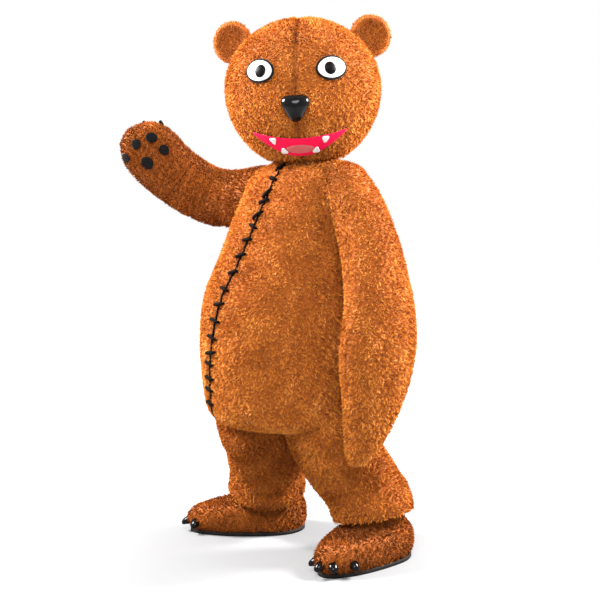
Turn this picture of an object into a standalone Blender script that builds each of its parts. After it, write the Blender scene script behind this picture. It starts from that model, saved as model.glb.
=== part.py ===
"""Bear mascot costume: a hollow plush suit with a round head, mitten paws and boots, one paw raised.

Metres, +Z up. The wearer faces -Y, and +X is the wearer's left. The origin is between the wearer's
shoulders, where the suit is carried. Every cloth piece is a wall between an outer and an inner skin,
and the skins are rings placed along a line: torso, sleeves, legs, boots and head share one recipe.
"""

import math
from collections import namedtuple

import bpy
import numpy as np
from mathutils import Matrix, Vector

# Driving dimensions
FLOOR = -1.35  # height of the floor below the shoulders
SEAM_GAP = 0.0003  # between pieces that meet
PLUSH = 0.008  # plush cloth: a 2 mm backing and 6 mm of pile
HEAD_WALL = 0.016  # plush over thin foam
FELT = 0.002  # felt pieces
FELT_LIFT = 0.0015  # felt lies on the tips of the pile
QUARTER = math.pi / 2
TURN = 2 * math.pi

# How finely each piece is faceted
TORSO_ROWS, TORSO_COLUMNS = 14, 8  # below the neck, and across a panel
SLEEVE_ROWS, SLEEVE_COLUMNS = 10, 16
PAW_ROWS, PAW_COLUMNS = 9, 9  # across a palm or a back
LEG_ROWS, LEG_COLUMNS = 8, 18
BOOT_ROWS, BOOT_COLUMNS = 8, 18
HEAD_ROWS, HEAD_COLUMNS = 7, 8  # above and below the middle, and across a panel
EAR_COLUMNS = 16

HEAD_CENTRE = Vector((0.0, 0.0, 0.242))
HEAD_RADIUS = 0.264
HEAD_CROWN = 0.238  # height of the crown above the head's middle
HEAD_JAW = 0.270  # depth of the full jaw below it, before the opening
HEAD_OPENING = 0.128  # radius of the hole that the wearer's head goes through
HEAD_TURN = 49.5  # degrees to the wearer's left
HEAD_TILT = -2.2  # degrees, one ear up
HEAD_NOD = 3.0  # degrees, chin down

Section = namedtuple("Section", "x y z half_width front back")

# A row for each ring, from the neck down to the crotch.
TORSO = [
    Section(0, 0.012, 0.090, 0.104, 0.102, 0.102),
    Section(0, 0.012, 0.045, 0.104, 0.102, 0.102),
    Section(0, 0.012, 0.006, 0.106, 0.103, 0.104),
    Section(0, 0.012, -0.018, 0.145, 0.122, 0.134),
    Section(0, 0.012, -0.035, 0.204, 0.148, 0.172),
    Section(0, 0.012, -0.068, 0.232, 0.174, 0.186),
    Section(0, 0.010, -0.140, 0.250, 0.207, 0.188),
    Section(0, 0.004, -0.232, 0.264, 0.246, 0.200),
    Section(0, 0, -0.325, 0.276, 0.289, 0.214),
    Section(0, 0, -0.420, 0.292, 0.341, 0.230),
    Section(0, 0, -0.510, 0.302, 0.364, 0.244),
    Section(0, 0, -0.600, 0.306, 0.370, 0.252),
    Section(0, 0, -0.680, 0.306, 0.367, 0.258),
    Section(0, 0, -0.760, 0.303, 0.358, 0.258),
    Section(0, 0, -0.830, 0.294, 0.346, 0.250),
    Section(0, 0, -0.868, 0.272, 0.322, 0.232),
    Section(0, 0, -0.892, 0.226, 0.270, 0.192),
    Section(0, 0, -0.904, 0.155, 0.185, 0.132),
    Section(0, 0, -0.909, 0.070, 0.080, 0.060),
    Section(0, 0, -0.910, 0.002, 0.002, 0.002),
]
SEAM_TOP_ANGLE, SEAM_FOOT_ANGLE = 12.5, -11.5  # degrees round the body, of the stitched front seam
SEAM_LEAN_FROM, SEAM_LEAN_TO = -0.10, -0.86  # the heights between which the seam leans over

# Sleeve and paw in one line, shoulder to finger tips. front is the palm's side.
RIGHT_ARM = [
    Section(-0.120, 0.010, -0.123, 0.103, 0.103, 0.103),
    Section(-0.215, -0.005, -0.124, 0.108, 0.108, 0.108),
    Section(-0.310, -0.030, -0.136, 0.107, 0.106, 0.106),
    Section(-0.400, -0.062, -0.138, 0.106, 0.101, 0.101),
    Section(-0.466, -0.115, -0.117, 0.106, 0.095, 0.096),
    Section(-0.508, -0.180, -0.072, 0.107, 0.086, 0.091),
    Section(-0.525, -0.232, -0.030, 0.109, 0.075, 0.087),
    Section(-0.534, -0.276, 0.012, 0.112, 0.063, 0.080),
    Section(-0.539, -0.309, 0.052, 0.107, 0.055, 0.073),
    Section(-0.542, -0.334, 0.087, 0.089, 0.046, 0.060),
    Section(-0.543, -0.351, 0.112, 0.060, 0.032, 0.039),
    Section(-0.543, -0.357, 0.122, 0.028, 0.017, 0.020),
    Section(-0.543, -0.358, 0.124, 0.002, 0.002, 0.002),
]
RIGHT_PALM_FACES = Vector((0.81, -0.55, -0.21))

LEFT_ARM = [
    Section(0.106, 0.010, -0.098, 0.090, 0.090, 0.090),
    Section(0.190, 0.022, -0.105, 0.094, 0.096, 0.096),
    Section(0.257, 0.028, -0.150, 0.092, 0.093, 0.093),
    Section(0.309, 0.026, -0.220, 0.099, 0.090, 0.091),
    Section(0.353, 0.024, -0.310, 0.112, 0.087, 0.090),
    Section(0.392, 0.020, -0.430, 0.131, 0.083, 0.090),
    Section(0.406, 0.014, -0.540, 0.149, 0.081, 0.090),
    Section(0.408, 0.006, -0.610, 0.155, 0.080, 0.088),
    Section(0.404, 0.002, -0.690, 0.143, 0.076, 0.082),
    Section(0.396, -0.008, -0.780, 0.118, 0.067, 0.072),
    Section(0.384, -0.024, -0.870, 0.088, 0.054, 0.057),
    Section(0.373, -0.040, -0.935, 0.058, 0.038, 0.040),
    Section(0.367, -0.046, -0.968, 0.036, 0.026, 0.027),
    Section(0.366, -0.047, -0.980, 0.018, 0.014, 0.014),
    Section(0.366, -0.047, -0.982, 0.002, 0.002, 0.002),
]
LEFT_PALM_FACES = Vector((-1.0, -0.15, 0.0))
WRISTS = {"right": 5.2, "left": 6.1}  # where a paw joins its sleeve, counted in rows

RIGHT_LEG = [
    Section(-0.145, -0.010, -0.790, 0.160, 0.170, 0.165),
    Section(-0.160, -0.046, -0.880, 0.177, 0.182, 0.168),
    Section(-0.162, -0.050, -0.950, 0.168, 0.169, 0.161),
    Section(-0.178, -0.036, -1.020, 0.152, 0.148, 0.146),
    Section(-0.200, -0.020, -1.080, 0.144, 0.137, 0.137),
    Section(-0.217, -0.009, -1.130, 0.143, 0.137, 0.137),
    Section(-0.226, -0.003, -1.163, 0.146, 0.141, 0.140),
    Section(-0.235, 0.003, -1.200, 0.140, 0.136, 0.135),
]
LEFT_LEG = [
    Section(0.145, 0, -0.790, 0.160, 0.165, 0.170),
    Section(0.154, 0.016, -0.880, 0.168, 0.168, 0.168),
    Section(0.158, 0.034, -0.950, 0.158, 0.158, 0.157),
    Section(0.170, 0.060, -1.020, 0.143, 0.144, 0.142),
    Section(0.190, 0.090, -1.075, 0.136, 0.137, 0.136),
    Section(0.208, 0.113, -1.120, 0.138, 0.138, 0.139),
    Section(0.222, 0.128, -1.160, 0.144, 0.141, 0.143),
    Section(0.231, 0.131, -1.204, 0.140, 0.137, 0.138),
]

# The boot's own frame: its origin is on the floor under the ankle, toes to -Y.
BOOT_UPPER = [
    Section(0, 0, 0.0133, 0.104, 0.290, 0.124),
    Section(0, 0, 0.040, 0.115, 0.308, 0.134),
    Section(0, 0, 0.070, 0.117, 0.304, 0.134),
    Section(0, 0, 0.098, 0.112, 0.264, 0.131),
    Section(0, 0, 0.118, 0.100, 0.186, 0.116),
    Section(0, 0, 0.136, 0.089, 0.118, 0.101),
    Section(0, 0, 0.162, 0.083, 0.093, 0.093),
    Section(0, 0, 0.200, 0.080, 0.086, 0.086),
]
SOLE_THICKNESS = 0.013
SOLE_EDGE = 0.004  # the sole stands out this far round the upper's foot
CLAW_ROW = 1.1  # the row of BOOT_UPPER that the claws stand on
CLAW_ANGLES = (-43, -21, 1, 25)  # degrees round the boot from its toe, outer side first
Claw = namedtuple("Claw", "length radius droop root")  # root is how much of it starts inside the cloth
FOOT_CLAW = Claw(0.046, 0.019, 0.010, 0.031)
PAW_CLAW = Claw(0.030, 0.011, 0.006, 0.016)
CLAW_FLATNESS = 0.85
PAW_CLAW_SHARES = (-0.85, -0.3, 0.25, 0.8)  # across the back of the fingers, from edge to edge
BOOTS = {"right": ((-0.256, 0.032), -28.0), "left": ((0.238, 0.146), 14.0)}  # ankle, toe-out

EAR_PLACE = (0.233, 0.010, 0.164)  # from the head's centre, mirrored for the right ear
EAR_SPLAY = 14.0  # degrees that an ear's front turns outwards
EAR_LEAN = 33.0  # degrees that an ear leans out sideways
EarRing = namedtuple("EarRing", "radius depth")
EAR_FRONT = [
    EarRing(0.0, 0.010),
    EarRing(0.030, 0.011),
    EarRing(0.052, 0.017),
    EarRing(0.064, 0.015),
    EarRing(0.070, 0.0),
]
EAR_BACK = [
    EarRing(0.0, 0.027),
    EarRing(0.030, 0.025),
    EarRing(0.052, 0.019),
    EarRing(0.065, 0.010),
    EarRing(0.070, 0.0),
]

COLOURS = {
    "plush": ((0.50, 0.185, 0.045), 0.95),
    "plush_dark": ((0.36, 0.115, 0.03), 0.95),
    "black_felt": ((0.012, 0.012, 0.014), 0.85),
    "white_felt": ((0.86, 0.86, 0.84), 0.8),
    "red_felt": ((0.72, 0.01, 0.06), 0.8),
    "pink_felt": ((0.80, 0.25, 0.28), 0.8),
    "black_plastic": ((0.010, 0.010, 0.012), 0.2),
    "sole_rubber": ((0.020, 0.016, 0.014), 0.7),
}


# Curves and rings


def along(knots, values, places):
    """Values between table rows: a smooth cubic through every row."""
    slopes = np.gradient(values, knots, axis=0)
    low = np.clip(np.searchsorted(knots, places, side="right") - 1, 0, len(knots) - 2)
    step = (knots[low + 1] - knots[low])[..., None]
    s = (places - knots[low])[..., None] / step
    start = (1 + 2 * s) * (1 - s) ** 2 * values[low] + s * (1 - s) ** 2 * step * slopes[low]
    end = s**2 * (3 - 2 * s) * values[low + 1] - s**2 * (1 - s) * step * slopes[low + 1]
    return start + end


class Tube:
    """Rings carried along a line. Angle 0 faces `facing`; on a line that runs down, they grow to the left."""

    def __init__(self, sections, facing=Vector((0, -1, 0))):
        self.rows = np.array(sections, float)
        self.knots = np.arange(len(sections), dtype=float)
        self.facing = np.array(facing.normalized())
        self.last = self.knots[-1]

    def axes(self, places):
        """Ring centre, side and front directions at these places along the line."""
        step = 0.02
        centre = along(self.knots, self.rows[:, :3], places)
        before = along(self.knots, self.rows[:, :3], np.clip(places - step, 0, self.last))
        after = along(self.knots, self.rows[:, :3], np.clip(places + step, 0, self.last))
        way = after - before
        way /= np.linalg.norm(way, axis=-1, keepdims=True)
        ahead = self.facing - (way @ self.facing)[..., None] * way
        ahead /= np.linalg.norm(ahead, axis=-1, keepdims=True)
        return centre, np.cross(ahead, way), ahead

    def skin(self, angles, places):
        """Points of the outer skin at these angles (radians) and places (in rows)."""
        angles, places = np.broadcast_arrays(np.asarray(angles, float), np.asarray(places, float))
        centre, side, ahead = self.axes(places)
        size = along(self.knots, self.rows[:, 3:], places)
        across = size[..., 0] * np.sin(angles)
        depth = np.where(np.cos(angles) > 0, size[..., 1], size[..., 2]) * np.cos(angles)
        return centre + across[..., None] * side + depth[..., None] * ahead

    def even_places(self, first, last, count):
        """Places at equal steps of the distance along the front of the skin."""
        fine = np.linspace(first, last, 400)
        walked = np.cumsum(np.linalg.norm(np.diff(self.skin(0.6, fine), axis=0), axis=-1))
        walked = np.concatenate([[0.0], walked])
        return np.interp(np.linspace(0, walked[-1], count), walked, fine)


def outward(surface, u, v):
    """Unit normals of surface(u, v), pointing away from its inside."""
    step = 1e-3
    du = surface(u + step, v) - surface(u - step, v)
    dv = surface(u, v + step) - surface(u, v - step)
    normal = np.cross(dv, du)
    return normal / np.maximum(np.linalg.norm(normal, axis=-1, keepdims=True), 1e-12)


def head_skin(angles, drops):
    """The head's skin by angles round and drops below its centre: round crown, longer jaw, soft muzzle."""
    angles, drops = np.broadcast_arrays(np.asarray(angles, float), np.asarray(drops, float))
    heights = -drops
    share = np.clip(np.abs(heights) / np.where(heights > 0, HEAD_CROWN, HEAD_JAW), 0, 1)
    radius = HEAD_RADIUS * np.sqrt(1 - share**2)
    x = radius * np.sin(angles)
    y = -radius * np.cos(angles)
    muzzle = 0.026 * np.exp(-((x / 0.095) ** 2) - ((heights + 0.075) / 0.075) ** 2) * (y < 0)
    return np.stack([x, y - muzzle, heights + 0 * x], axis=-1)


# Meshes and objects


def material(name):
    """A Principled material with this finish's colour and roughness."""
    found = bpy.data.materials.get(name)
    if found:
        return found
    colour, roughness = COLOURS[name]
    made = bpy.data.materials.new(name)
    made.use_nodes = True
    shader = made.node_tree.nodes["Principled BSDF"]
    shader.inputs["Base Color"].default_value = (*colour, 1)
    shader.inputs["Roughness"].default_value = roughness
    made.diffuse_color = (*colour, 1)
    return made


def add_object(name, points, faces, finish, parent=None):
    """A smooth-shaded mesh object, its points given in its parent's frame."""
    mesh = bpy.data.meshes.new(name)
    mesh.from_pydata([tuple(p) for p in points], [], faces)
    mesh.validate()
    mesh.materials.append(material(finish))
    mesh.shade_smooth()
    mesh.set_sharp_from_angle(angle=math.radians(50))
    made = bpy.data.objects.new(name, mesh)
    bpy.context.scene.collection.objects.link(made)
    made.parent = parent
    return made


def add_frame(name, place, turn=(0, 0, 0)):
    """An empty that carries the pieces of one sub-assembly."""
    made = bpy.data.objects.new(name, None)
    made.location = place
    made.rotation_euler = [math.radians(a) for a in turn]
    bpy.context.scene.collection.objects.link(made)
    bpy.context.view_layer.update()
    return made


def grid_faces(rows, cols, start, flip=False, closed=False):
    """Triangles between the rows of a grid whose points begin at index start, all split the same way."""
    faces = []
    for r in range(rows - 1):
        for c in range(cols if closed else cols - 1):
            here, beside = start + r * cols + c, start + r * cols + (c + 1) % cols
            below, across = here + cols, beside + cols
            for face in ((here, beside, across), (here, across, below)):
                faces.append(face[::-1] if flip else face)
    return faces


def wall_mesh(outer, inner, closed=False):
    """One closed wall between two grids of points: both skins and the rims round them.

    A rim is cut into triangles the same way on every piece, so two pieces stay apart along a seam that winds.
    """
    rows, cols = outer.shape[:2]
    size = rows * cols
    faces = grid_faces(rows, cols, 0, True, closed) + grid_faces(rows, cols, size, False, closed)

    def rim(here, there, flip):
        for face in ((here, there, size + there), (here, size + there, size + here)):
            faces.append(face[::-1] if flip else face)

    for start, flip in ((0, False), ((rows - 1) * cols, True)):
        for c in range(cols if closed else cols - 1):
            rim(start + c, start + (c + 1) % cols, flip)
    if not closed:
        for start, flip in ((0, True), (cols - 1, False)):
            for r in range(rows - 1):
                rim(start + r * cols, start + (r + 1) * cols, flip)
    return np.concatenate([outer.reshape(-1, 3), inner.reshape(-1, 3)]), faces


def drawn_in(grid, sides):
    """Moves the named edges of a grid half a seam gap towards its middle: left, right, top, bottom."""
    moved = grid.copy()
    for side in sides:
        edge, beside = {
            "left": (np.s_[:, 0], np.s_[:, 1]),
            "right": (np.s_[:, -1], np.s_[:, -2]),
            "top": (np.s_[0], np.s_[1]),
            "bottom": (np.s_[-1], np.s_[-2]),
        }[side]
        way = grid[beside] - grid[edge]
        length = np.linalg.norm(way, axis=-1, keepdims=True)
        moved[edge] += way / np.maximum(length, 1e-9) * np.minimum(SEAM_GAP / 2, length / 2)
    return moved


def round_angles(count):
    """Even angles once round, in radians."""
    return np.linspace(0, TURN, count, endpoint=False)


def cloth_panel(name, surface, angles, places, wall, sides, parent=None):
    """A plush panel cut from a surface: a wall of that thickness over these angles and places."""
    v = places[:, None]
    u = np.broadcast_to(angles, (len(places), angles.shape[-1]))
    outer = surface(u, v)
    inner = outer - wall * outward(surface, u, v)
    points, faces = wall_mesh(drawn_in(outer, sides), drawn_in(inner, sides))
    return add_object(name, points, faces, "plush", parent)


def cloth_tube(name, tube, places, cols, sides=()):
    """A tube of plush, open at both ends."""
    u, v = np.meshgrid(round_angles(cols), places)
    outer = tube.skin(u, v)
    inner = outer - PLUSH * outward(tube.skin, u, v)
    points, faces = wall_mesh(drawn_in(outer, sides), drawn_in(inner, sides), closed=True)
    return add_object(name, points, faces, "plush")


def cutter_from(name, points, faces, parent=None):
    """A hidden object that other pieces are cut by."""
    made = add_object(name, points, faces, "plush", parent)
    made.hide_render = True
    made.display_type = "WIRE"
    return made


def filled(name, surface, places, cols, offset, parent=None):
    """A hidden cutter: the space inside a surface, its skin moved out by offset."""
    u, v = np.meshgrid(round_angles(cols), places)
    grid = surface(u, v) + offset * outward(surface, u, v)
    size = len(places) * cols
    faces = grid_faces(len(places), cols, 0, True, True)
    faces.append(tuple(range(cols)))
    faces.append(tuple(range(size - 1, size - cols - 1, -1)))
    return cutter_from(name, grid.reshape(-1, 3), faces, parent)


def cut_by(piece, *cutters):
    for cutter in cutters:
        boolean = piece.modifiers.new("cut_by_" + cutter.name, "BOOLEAN")
        boolean.operation = "DIFFERENCE"
        boolean.object = cutter


def patch_mesh(surface, centre, outline, rings, lift, height):
    """A piece laid on a surface: rings of an outline shrink to its centre, its back lift above the surface.

    outline(angle) gives the edge as metres across and up. height(share) is the thickness where share
    runs from 0 at the centre to 1 at the edge.
    """
    u0, v0 = centre
    step = 1e-3
    per_u = np.linalg.norm(surface(u0 + step, v0) - surface(u0 - step, v0)) / (2 * step)
    per_v = np.linalg.norm(surface(u0, v0 + step) - surface(u0, v0 - step)) / (2 * step)
    edge = np.array([outline(a) for a in round_angles(rings.around)])
    shares = np.linspace(1, 0, rings.across + 1)[:-1]
    u = u0 + shares[:, None] * edge[:, 0] / per_u
    v = v0 - shares[:, None] * edge[:, 1] / per_v
    u, v = np.append(u, u0), np.append(v, v0)
    share = np.append(np.repeat(shares, rings.around), 0.0)
    skin, normal = surface(u, v), outward(surface, u, v)
    back = skin + lift * normal
    front = back + height(share)[:, None] * normal
    size = len(share)
    faces = []
    for start, flip in ((0, False), (size, True)):
        faces += grid_faces(rings.across, rings.around, start, flip, True)
        last = start + (rings.across - 1) * rings.around
        for c in range(rings.around):
            triangle = (last + c, last + (c + 1) % rings.around, start + size - 1)
            faces.append(triangle[::-1] if flip else triangle)
    for c in range(rings.around):
        d = (c + 1) % rings.around
        faces.append((c, size + c, size + d, d))
    return np.concatenate([front, back]), faces


Rings = namedtuple("Rings", "around across")


def flat_height(thickness):
    return lambda share: np.full(share.shape, thickness)


def dome_height(thickness, rim):
    return lambda share: rim + (thickness - rim) * np.sqrt(np.clip(1 - share**2, 0, 1))


def oval(half_width, half_height, lean=0.0):
    """An oval outline, leaning by so many degrees."""
    c, s = math.cos(math.radians(lean)), math.sin(math.radians(lean))

    def at(angle):
        x, y = half_width * math.cos(angle), half_height * math.sin(angle)
        return x * c - y * s, x * s + y * c

    return at


def rounded_triangle(half_width, height, roundness, up=1):
    """An outline like a rounded triangle, its point up or down, centred on the origin."""

    def at(angle):
        reach = 1 / (1 - roundness * math.cos(3 * (angle - QUARTER * up)))
        return half_width * reach * math.cos(angle), height / 2 * reach * math.sin(angle)

    return at


# Sub-parts


def torso_places(tube):
    """The neck's own rows, then even steps down to the crotch."""
    return np.concatenate([[0.0, 1.0, 2.0], tube.even_places(3, tube.last, TORSO_ROWS)])


def torso_seams(heights):
    """Angles of the front seam, which crosses from the left of the chest to the right of the belly."""
    share = np.clip((SEAM_LEAN_FROM - heights) / (SEAM_LEAN_FROM - SEAM_LEAN_TO), 0, 1)
    return np.radians(SEAM_TOP_ANGLE + (SEAM_FOOT_ANGLE - SEAM_TOP_ANGLE) * share**1.6)


def build_torso(tube, cutters):
    """Four panels, with holes where the sleeves and the legs join them."""
    places = torso_places(tube)
    heights = tube.skin(0.0, places)[:, 2]
    front = torso_seams(heights)
    side = np.full_like(front, QUARTER)
    panels = {
        "torso_front_left": (front, side),
        "torso_back_left": (side, 2 * side),
        "torso_back_right": (-2 * side, -side),
        "torso_front_right": (-side, front),
    }
    for name, (start, end) in panels.items():
        share = np.linspace(0, 1, TORSO_COLUMNS)
        angles = start[:, None] + (end - start)[:, None] * share
        panel = cloth_panel(name, tube.skin, angles, places, PLUSH, ("left", "right"))
        cut_by(panel, *[cutter for side, cutter in cutters if side in (name.split("_")[-1], "both")])


def sleeve_places(tube, side):
    return tube.even_places(0, WRISTS[side], SLEEVE_ROWS)


def paw_places(tube, side):
    return tube.even_places(WRISTS[side], tube.last, PAW_ROWS)


def build_arm(side, tube, torso_core):
    """The sleeve, and the paw's palm and back, which meet in a seam round the fingers."""
    sleeve = cloth_tube(f"sleeve_{side}", tube, sleeve_places(tube, side), SLEEVE_COLUMNS, ("bottom",))
    cut_by(sleeve, torso_core)
    for name, start in (("palm", -QUARTER), ("hand_back", QUARTER)):
        angles = np.linspace(start, start + 2 * QUARTER, PAW_COLUMNS)
        places = paw_places(tube, side)
        cloth_panel(f"{name}_{side}", tube.skin, angles, places, PLUSH, ("left", "right", "top"))


Pad = namedtuple("Pad", "name angle place half_width half_height")
PADS = [
    Pad("pad_palm", 13, 7.3, 0.021, 0.024),
    Pad("pad_finger_1", 52, 8.25, 0.017, 0.018),
    Pad("pad_finger_2", 12, 8.85, 0.017, 0.018),
    Pad("pad_finger_3", -25, 8.65, 0.019, 0.020),
    Pad("pad_finger_4", -28, 7.3, 0.018, 0.019),
]


def build_pads(tube):
    for pad in PADS:
        centre = (math.radians(pad.angle), pad.place)
        outline = oval(pad.half_width, pad.half_height)
        points, faces = patch_mesh(tube.skin, centre, outline, Rings(14, 1), FELT_LIFT, flat_height(FELT))
        add_object(pad.name, points, faces, "black_felt")


def claw_points(claw, around=10, steps=6):
    """A blunt claw along +X from the origin: a tapering stem, rounded off, that drops to -Z at its tip."""
    points = []
    for i in range(steps):
        turn = QUARTER * i / steps
        size = claw.radius * math.cos(turn) ** 0.7
        x = claw.length * math.sin(turn)
        drop = claw.droop * math.sin(turn) ** 2
        for a in round_angles(around):
            points.append((x, size * math.cos(a), CLAW_FLATNESS * size * math.sin(a) - drop))
    points.append((claw.length, 0, -claw.droop))
    faces = grid_faces(steps, around, 0, False, True)
    faces.append(tuple(range(around - 1, -1, -1)))
    tip = len(points) - 1
    last = (steps - 1) * around
    faces += [(last + k, last + (k + 1) % around, tip) for k in range(around)]
    return np.array(points), faces


def build_claw(name, base, way, up, claw, cutter, parent=None):
    """A claw that stands out of the plush, its root trimmed to the cloth's skin."""
    ahead = Vector(way).normalized()
    side = Vector(up).cross(ahead).normalized()
    turn = Matrix((ahead, side, ahead.cross(side))).transposed()
    points, faces = claw_points(claw)
    placed = points @ np.array(turn).T + np.array(base)
    made = add_object(name, placed, faces, "black_plastic", parent)
    cut_by(made, cutter)


def build_paw_claws(tube, cutter):
    """Four claws along the finger edge, on the back of the raised paw, spread like a fan."""
    knuckles, tips = np.array(9.0), np.array(9.6)
    centre, side, _ = tube.axes(knuckles)
    way = tube.axes(tips)[0] - centre
    way /= np.linalg.norm(way)
    for i, share in enumerate(PAW_CLAW_SHARES):
        place = 9.7 - 1.1 * share**2
        angle = math.radians(180 - 76 * share)
        out = outward(tube.skin, angle, place)
        spread = way + 0.5 * share * side
        base = tube.skin(angle, place) - PAW_CLAW.root * spread
        build_claw(f"claw_hand_{i + 1}", base, spread + 0.5 * out, out, PAW_CLAW, cutter)


def leg_places(tube):
    return tube.even_places(0.3, tube.last, LEG_ROWS)


def build_leg(side, tube, torso_core, other_half):
    """A trouser leg, cut off where it meets the body and where it meets the other leg."""
    leg = cloth_tube(f"leg_{side}", tube, leg_places(tube), LEG_COLUMNS)
    cut_by(leg, torso_core, other_half)


def box_cutter(name, low, high):
    """A hidden box between two corners."""
    (x0, y0, z0), (x1, y1, z1) = low, high
    points = [(x, y, z) for x in (x0, x1) for y in (y0, y1) for z in (z0, z1)]
    faces = [(0, 1, 3, 2), (4, 6, 7, 5), (0, 4, 5, 1), (2, 3, 7, 6), (0, 2, 6, 4), (1, 5, 7, 3)]
    return cutter_from(name, points, faces)


def build_boot(side):
    """A plush upper, open at the ankle, on a flat rubber sole, with four claws over the toes."""
    (x, y), toe_out = BOOTS[side]
    frame = add_frame(f"boot_{side}_frame", (x, y, FLOOR), (0, 0, toe_out))
    tube = Tube(BOOT_UPPER)
    places = tube.even_places(0, tube.last, BOOT_ROWS)
    u, v = np.meshgrid(round_angles(BOOT_COLUMNS), places)
    skin = tube.skin(u, v)
    inner = skin - PLUSH * outward(tube.skin, u, v)
    inner[0, :, 2] = skin[0, :, 2]
    points, faces = wall_mesh(skin, inner, closed=True)
    add_object(f"boot_{side}_upper", points, faces, "plush", frame)

    edge = skin[0] * (1 + SOLE_EDGE / np.linalg.norm(skin[0][:, :2], axis=-1, keepdims=True))
    count = len(edge)
    low = np.column_stack([edge[:, :2], np.zeros(count)])
    high = np.column_stack([edge[:, :2], np.full(count, SOLE_THICKNESS)])
    faces = [tuple(range(count)), tuple(range(count, 2 * count))[::-1]]
    faces += [(c, count + c, count + (c + 1) % count, (c + 1) % count) for c in range(count)]
    add_object(f"boot_{side}_sole", np.concatenate([low, high]), faces, "sole_rubber", frame)

    cutter = filled(f"boot_{side}_core", tube.skin, places, BOOT_COLUMNS, SEAM_GAP, frame)
    outer = 1 if side == "left" else -1
    for i, turn in enumerate(CLAW_ANGLES):
        angle = math.radians(outer * turn)
        out = outward(tube.skin, angle, CLAW_ROW)
        out[2] = -0.1
        base = tube.skin(angle, CLAW_ROW) - FOOT_CLAW.root * out
        build_claw(f"claw_foot_{side}_{i + 1}", base, out, (0, 0, 1), FOOT_CLAW, cutter, frame)


def build_head(frame):
    """Four plush panels over foam, meeting at the crown and open at the neck."""
    opening = HEAD_JAW * math.sqrt(1 - (HEAD_OPENING / HEAD_RADIUS) ** 2)
    crown, jaw = 0.008, 1.46  # radians from the pole where the rows start and from the middle where they end
    upper = -HEAD_CROWN * np.cos(np.linspace(crown, QUARTER, HEAD_ROWS))
    lower = opening * np.sin(np.linspace(0, jaw, HEAD_ROWS)[1:]) / math.sin(jaw)
    places = np.concatenate([upper, lower])
    starts = {"face_left": 0, "back_left": QUARTER, "back_right": -2 * QUARTER, "face_right": -QUARTER}
    for name, start in starts.items():
        angles = np.linspace(start, start + QUARTER, HEAD_COLUMNS)
        cloth_panel(f"head_{name}", head_skin, angles, places, HEAD_WALL, ("left", "right"), frame)
    return filled("head_core", head_skin, places, 4 * HEAD_COLUMNS, SEAM_GAP, frame)


EarHalf = namedtuple("EarHalf", "name rings way finish")  # way is 1 to the back
EAR_HALVES = [EarHalf("front", EAR_FRONT, -1, "plush_dark"), EarHalf("back", EAR_BACK, 1, "plush")]


def ear_half(rings, way):
    """Half an ear: rings out to its rim, closed by a flat back on the seam between the halves."""
    points = []
    for ring in rings[1:]:
        depth = way * max(ring.depth, SEAM_GAP / 2)
        for a in round_angles(EAR_COLUMNS):
            points.append((ring.radius * math.cos(a), depth, ring.radius * math.sin(a)))
    points.append((0, way * rings[0].depth, 0))
    points.append((0, way * SEAM_GAP / 2, 0))
    steps = len(rings) - 1
    faces = grid_faces(steps, EAR_COLUMNS, 0, False, True)
    rim = (steps - 1) * EAR_COLUMNS
    for c in range(EAR_COLUMNS):
        d = (c + 1) % EAR_COLUMNS
        faces.append((len(points) - 2, d, c))
        faces.append((rim + c, rim + d, len(points) - 1))
    return points, faces if way > 0 else [face[::-1] for face in faces]


def build_ears(head_frame, core):
    """Two stuffed halves for each ear: a dished front and a domed back, seamed round the rim."""
    for side, sign in (("left", 1), ("right", -1)):
        x, y, z = EAR_PLACE
        frame = add_frame(f"ear_{side}_frame", (sign * x, y, z), (0, sign * EAR_LEAN, sign * EAR_SPLAY))
        frame.parent = head_frame
        bpy.context.view_layer.update()
        for half in EAR_HALVES:
            points, faces = ear_half(half.rings, half.way)
            ear = add_object(f"ear_{side}_{half.name}", points, faces, half.finish, frame)
            cut_by(ear, core)


Laid = namedtuple("Laid", "angle height outline rings lift thickness finish domed")
EYE_HEIGHT = 0.060  # above the head's middle
EYE_ANGLE, PUPIL_ANGLE = 27.0, 25.5  # degrees to each side of the nose
EYE_LEAN = 8.0


def build_face(frame):
    """Felt eyes and mouth and a moulded nose, each laid on the head's skin."""
    layer = FELT + SEAM_GAP
    felt_rings = Rings(16, 2)
    nose = rounded_triangle(0.040, 0.078, 0.16, -1)
    pieces = {"nose": Laid(0, -0.056, nose, Rings(20, 5), FELT_LIFT, 0.036, "black_plastic", True)}
    for side, sign in (("left", 1), ("right", -1)):
        at, lean = sign * EYE_ANGLE, sign * EYE_LEAN
        rim, white = oval(0.054, 0.040, lean), oval(0.047, 0.033, lean)
        lifts = [FELT_LIFT + i * layer for i in range(3)]
        pieces[f"eye_{side}_rim"] = Laid(
            at, EYE_HEIGHT, rim, felt_rings, lifts[0], FELT, "black_felt", False
        )
        pieces[f"eye_{side}_white"] = Laid(
            at, EYE_HEIGHT, white, felt_rings, lifts[1], FELT, "white_felt", False
        )
        pupil = oval(0.019, 0.021)
        pieces[f"eye_{side}_pupil"] = Laid(
            sign * PUPIL_ANGLE, 0.058, pupil, Rings(16, 3), lifts[2], 0.007, "black_plastic", True
        )
    for name, piece in pieces.items():
        height = dome_height(piece.thickness, 0.003) if piece.domed else flat_height(piece.thickness)
        centre = (math.radians(piece.angle), -piece.height)
        points, faces = patch_mesh(head_skin, centre, piece.outline, piece.rings, piece.lift, height)
        add_object(name, points, faces, piece.finish, frame)
    build_mouth(frame, layer)


MOUTH_REACH = 41.0  # degrees from the middle to a corner
MOUTH_CORNER = -0.138  # height of the corners from the head's middle
MOUTH_ROWS, MOUTH_COLUMNS = 4, 15
Tooth = namedtuple("Tooth", "share up")  # share of the way to a corner; up is 1 on the lower lip
TOOTH_ROUNDNESS = 0.18
TEETH = [Tooth(-0.56, -1), Tooth(0.56, -1), Tooth(-0.40, 1), Tooth(0.40, 1)]


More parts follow.
